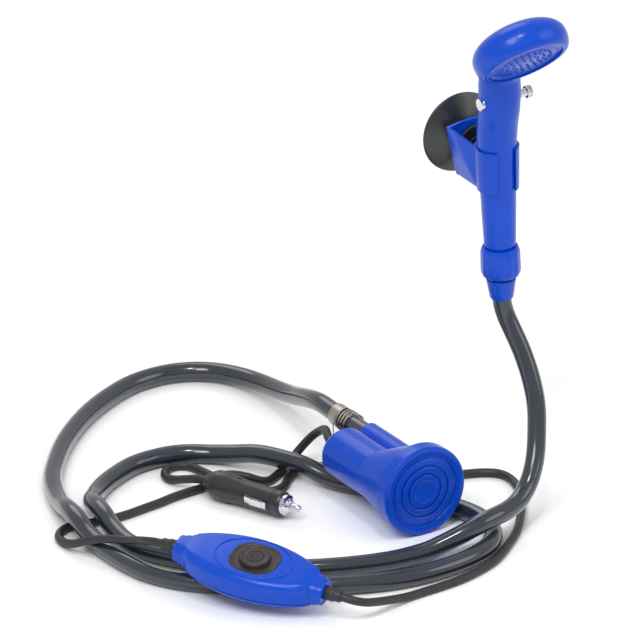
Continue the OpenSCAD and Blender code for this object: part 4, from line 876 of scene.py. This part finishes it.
for k in range(29):
    turn = math.radians(40 + 280 * k / 28)
    arc.append(Vector((symbol_radius * math.sin(turn), symbol_radius * math.cos(turn),
                       symbol_height)) * mm)
bar = [Vector((0, y, symbol_height)) * mm for y in (1, 4.2)]
join_wire(button, "power_arc", arc, 0.5, pad_plastic, 3)
join_wire(button, "power_bar", bar, 0.5, pad_plastic, 3)
button = new_piece("push_button", button, switch_frame @ moved(pad_x, 0, 0) @ turned(90, "Z"),
                   pad_plastic, "switch_button", 35)
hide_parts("switch_button")
print("button faces:", len(button.data.polygons))

# %% [markdown]
# The cords leave the switch through stepped rubber grommets, which keep them
# from kinking at the shell. One profile, spun round the cord and turned to each
# side, serves both ends, so its steps are closed and its bore is open at once.

# %% Grommets
grommet_profile = [(3.56, 61.5), (6.2, 61.5), (6.2, 63.4), (4.35, 63.4), (4.35, 66),
                   (5.8, 66), (6, 66.4), (6, 69.2), (5.6, 69.6), (5.6, 70.3), (5.9, 70.7),
                   (5.8, 73.4), (5.4, 74), (5, 74.2), (4.9, 79), (4.5, 79.8), (3.56, 80)]
for name, node_name, turn in (("left_boot", "left_grommet", -90),
                              ("right_boot", "right_grommet", 90)):
    new_piece(name, lathe(grommet_profile, 72), switch_frame @ turned(turn, "Y"),
                            cord_rubber, "base", 35)
    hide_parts(node_name)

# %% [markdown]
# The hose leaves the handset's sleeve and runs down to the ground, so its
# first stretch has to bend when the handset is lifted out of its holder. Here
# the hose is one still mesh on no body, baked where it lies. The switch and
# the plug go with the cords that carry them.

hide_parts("hose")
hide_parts("cord_plug_to_switch")
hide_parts("cord_switch_to_pump")
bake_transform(hose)

# %% [markdown]
# The ground is a plain pale sheet, and the light is a soft studio: a large
# lamp high on the left, a weaker one on the right, and a pale world that fills
# the shadows. The camera, mirrors and glass see the world as white.

# %% Ground, lamps and world
ground_gap = 0.0002
ground_mesh = bmesh.new()
bmesh.ops.create_grid(ground_mesh, x_segments=1, y_segments=1, size=4)
ground_data = mesh_from("ground", ground_mesh)
ground_data.transform(Matrix.Translation((0, 0, floor_z - ground_gap)))
ground = linked("ground", ground_data)
ground_finish = bpy.data.materials.new("ground_paper")
ground_finish.use_nodes = True
paper = ground_finish.node_tree.nodes["Principled BSDF"]
paper.inputs["Base Color"].default_value = (1.0, 1.0, 1.0, 1)
paper.inputs["Roughness"].default_value = 0.9
ground_data.materials.append(ground_finish)


def lamp(name, place, target, size, watts):
    data = bpy.data.lights.new(name, "AREA")
    data.shape = "DISK"
    data.size = size
    data.energy = watts
    obj = linked(name, data)
    obj.location = place
    obj.rotation_euler = (Vector(target) - Vector(place)).to_track_quat("-Z", "Y").to_euler()


middle = (-0.12, 0.0, -0.15)
lamp("key_lamp", (-1.6, -1.2, 1.9), middle, 1.2, 28)
lamp("fill_lamp", (1.7, -1.5, 1.1), middle, 1.5, 10)
lamp("back_lamp", (0.2, 1.9, 1.6), middle, 1.5, 10)
lamp("spark_lamp", (-0.5, -0.9, 1.7), middle, 0.3, 8)
world = bpy.data.worlds.new("studio")
bpy.context.scene.world = world
world.use_nodes = True
air = world.node_tree
background = air.nodes["Background"]
background.inputs["Color"].default_value = (1, 1, 1, 1)
paths = air.nodes.new("ShaderNodeLightPath")
seen = air.nodes.new("ShaderNodeMath")
seen.operation = "MAXIMUM"
air.links.new(paths.outputs["Is Camera Ray"], seen.inputs[0])
air.links.new(paths.outputs["Is Transmission Ray"], seen.inputs[1])
strength = air.nodes.new("ShaderNodeMapRange")
strength.inputs["To Min"].default_value = 0.64
strength.inputs["To Max"].default_value = 1.0
air.links.new(seen.outputs[0], strength.inputs["Value"])
air.links.new(strength.outputs["Result"], background.inputs["Strength"])
bpy.context.scene.view_settings.view_transform = "Standard"
print("lamps:", len(bpy.data.lights), "world:", world.name)
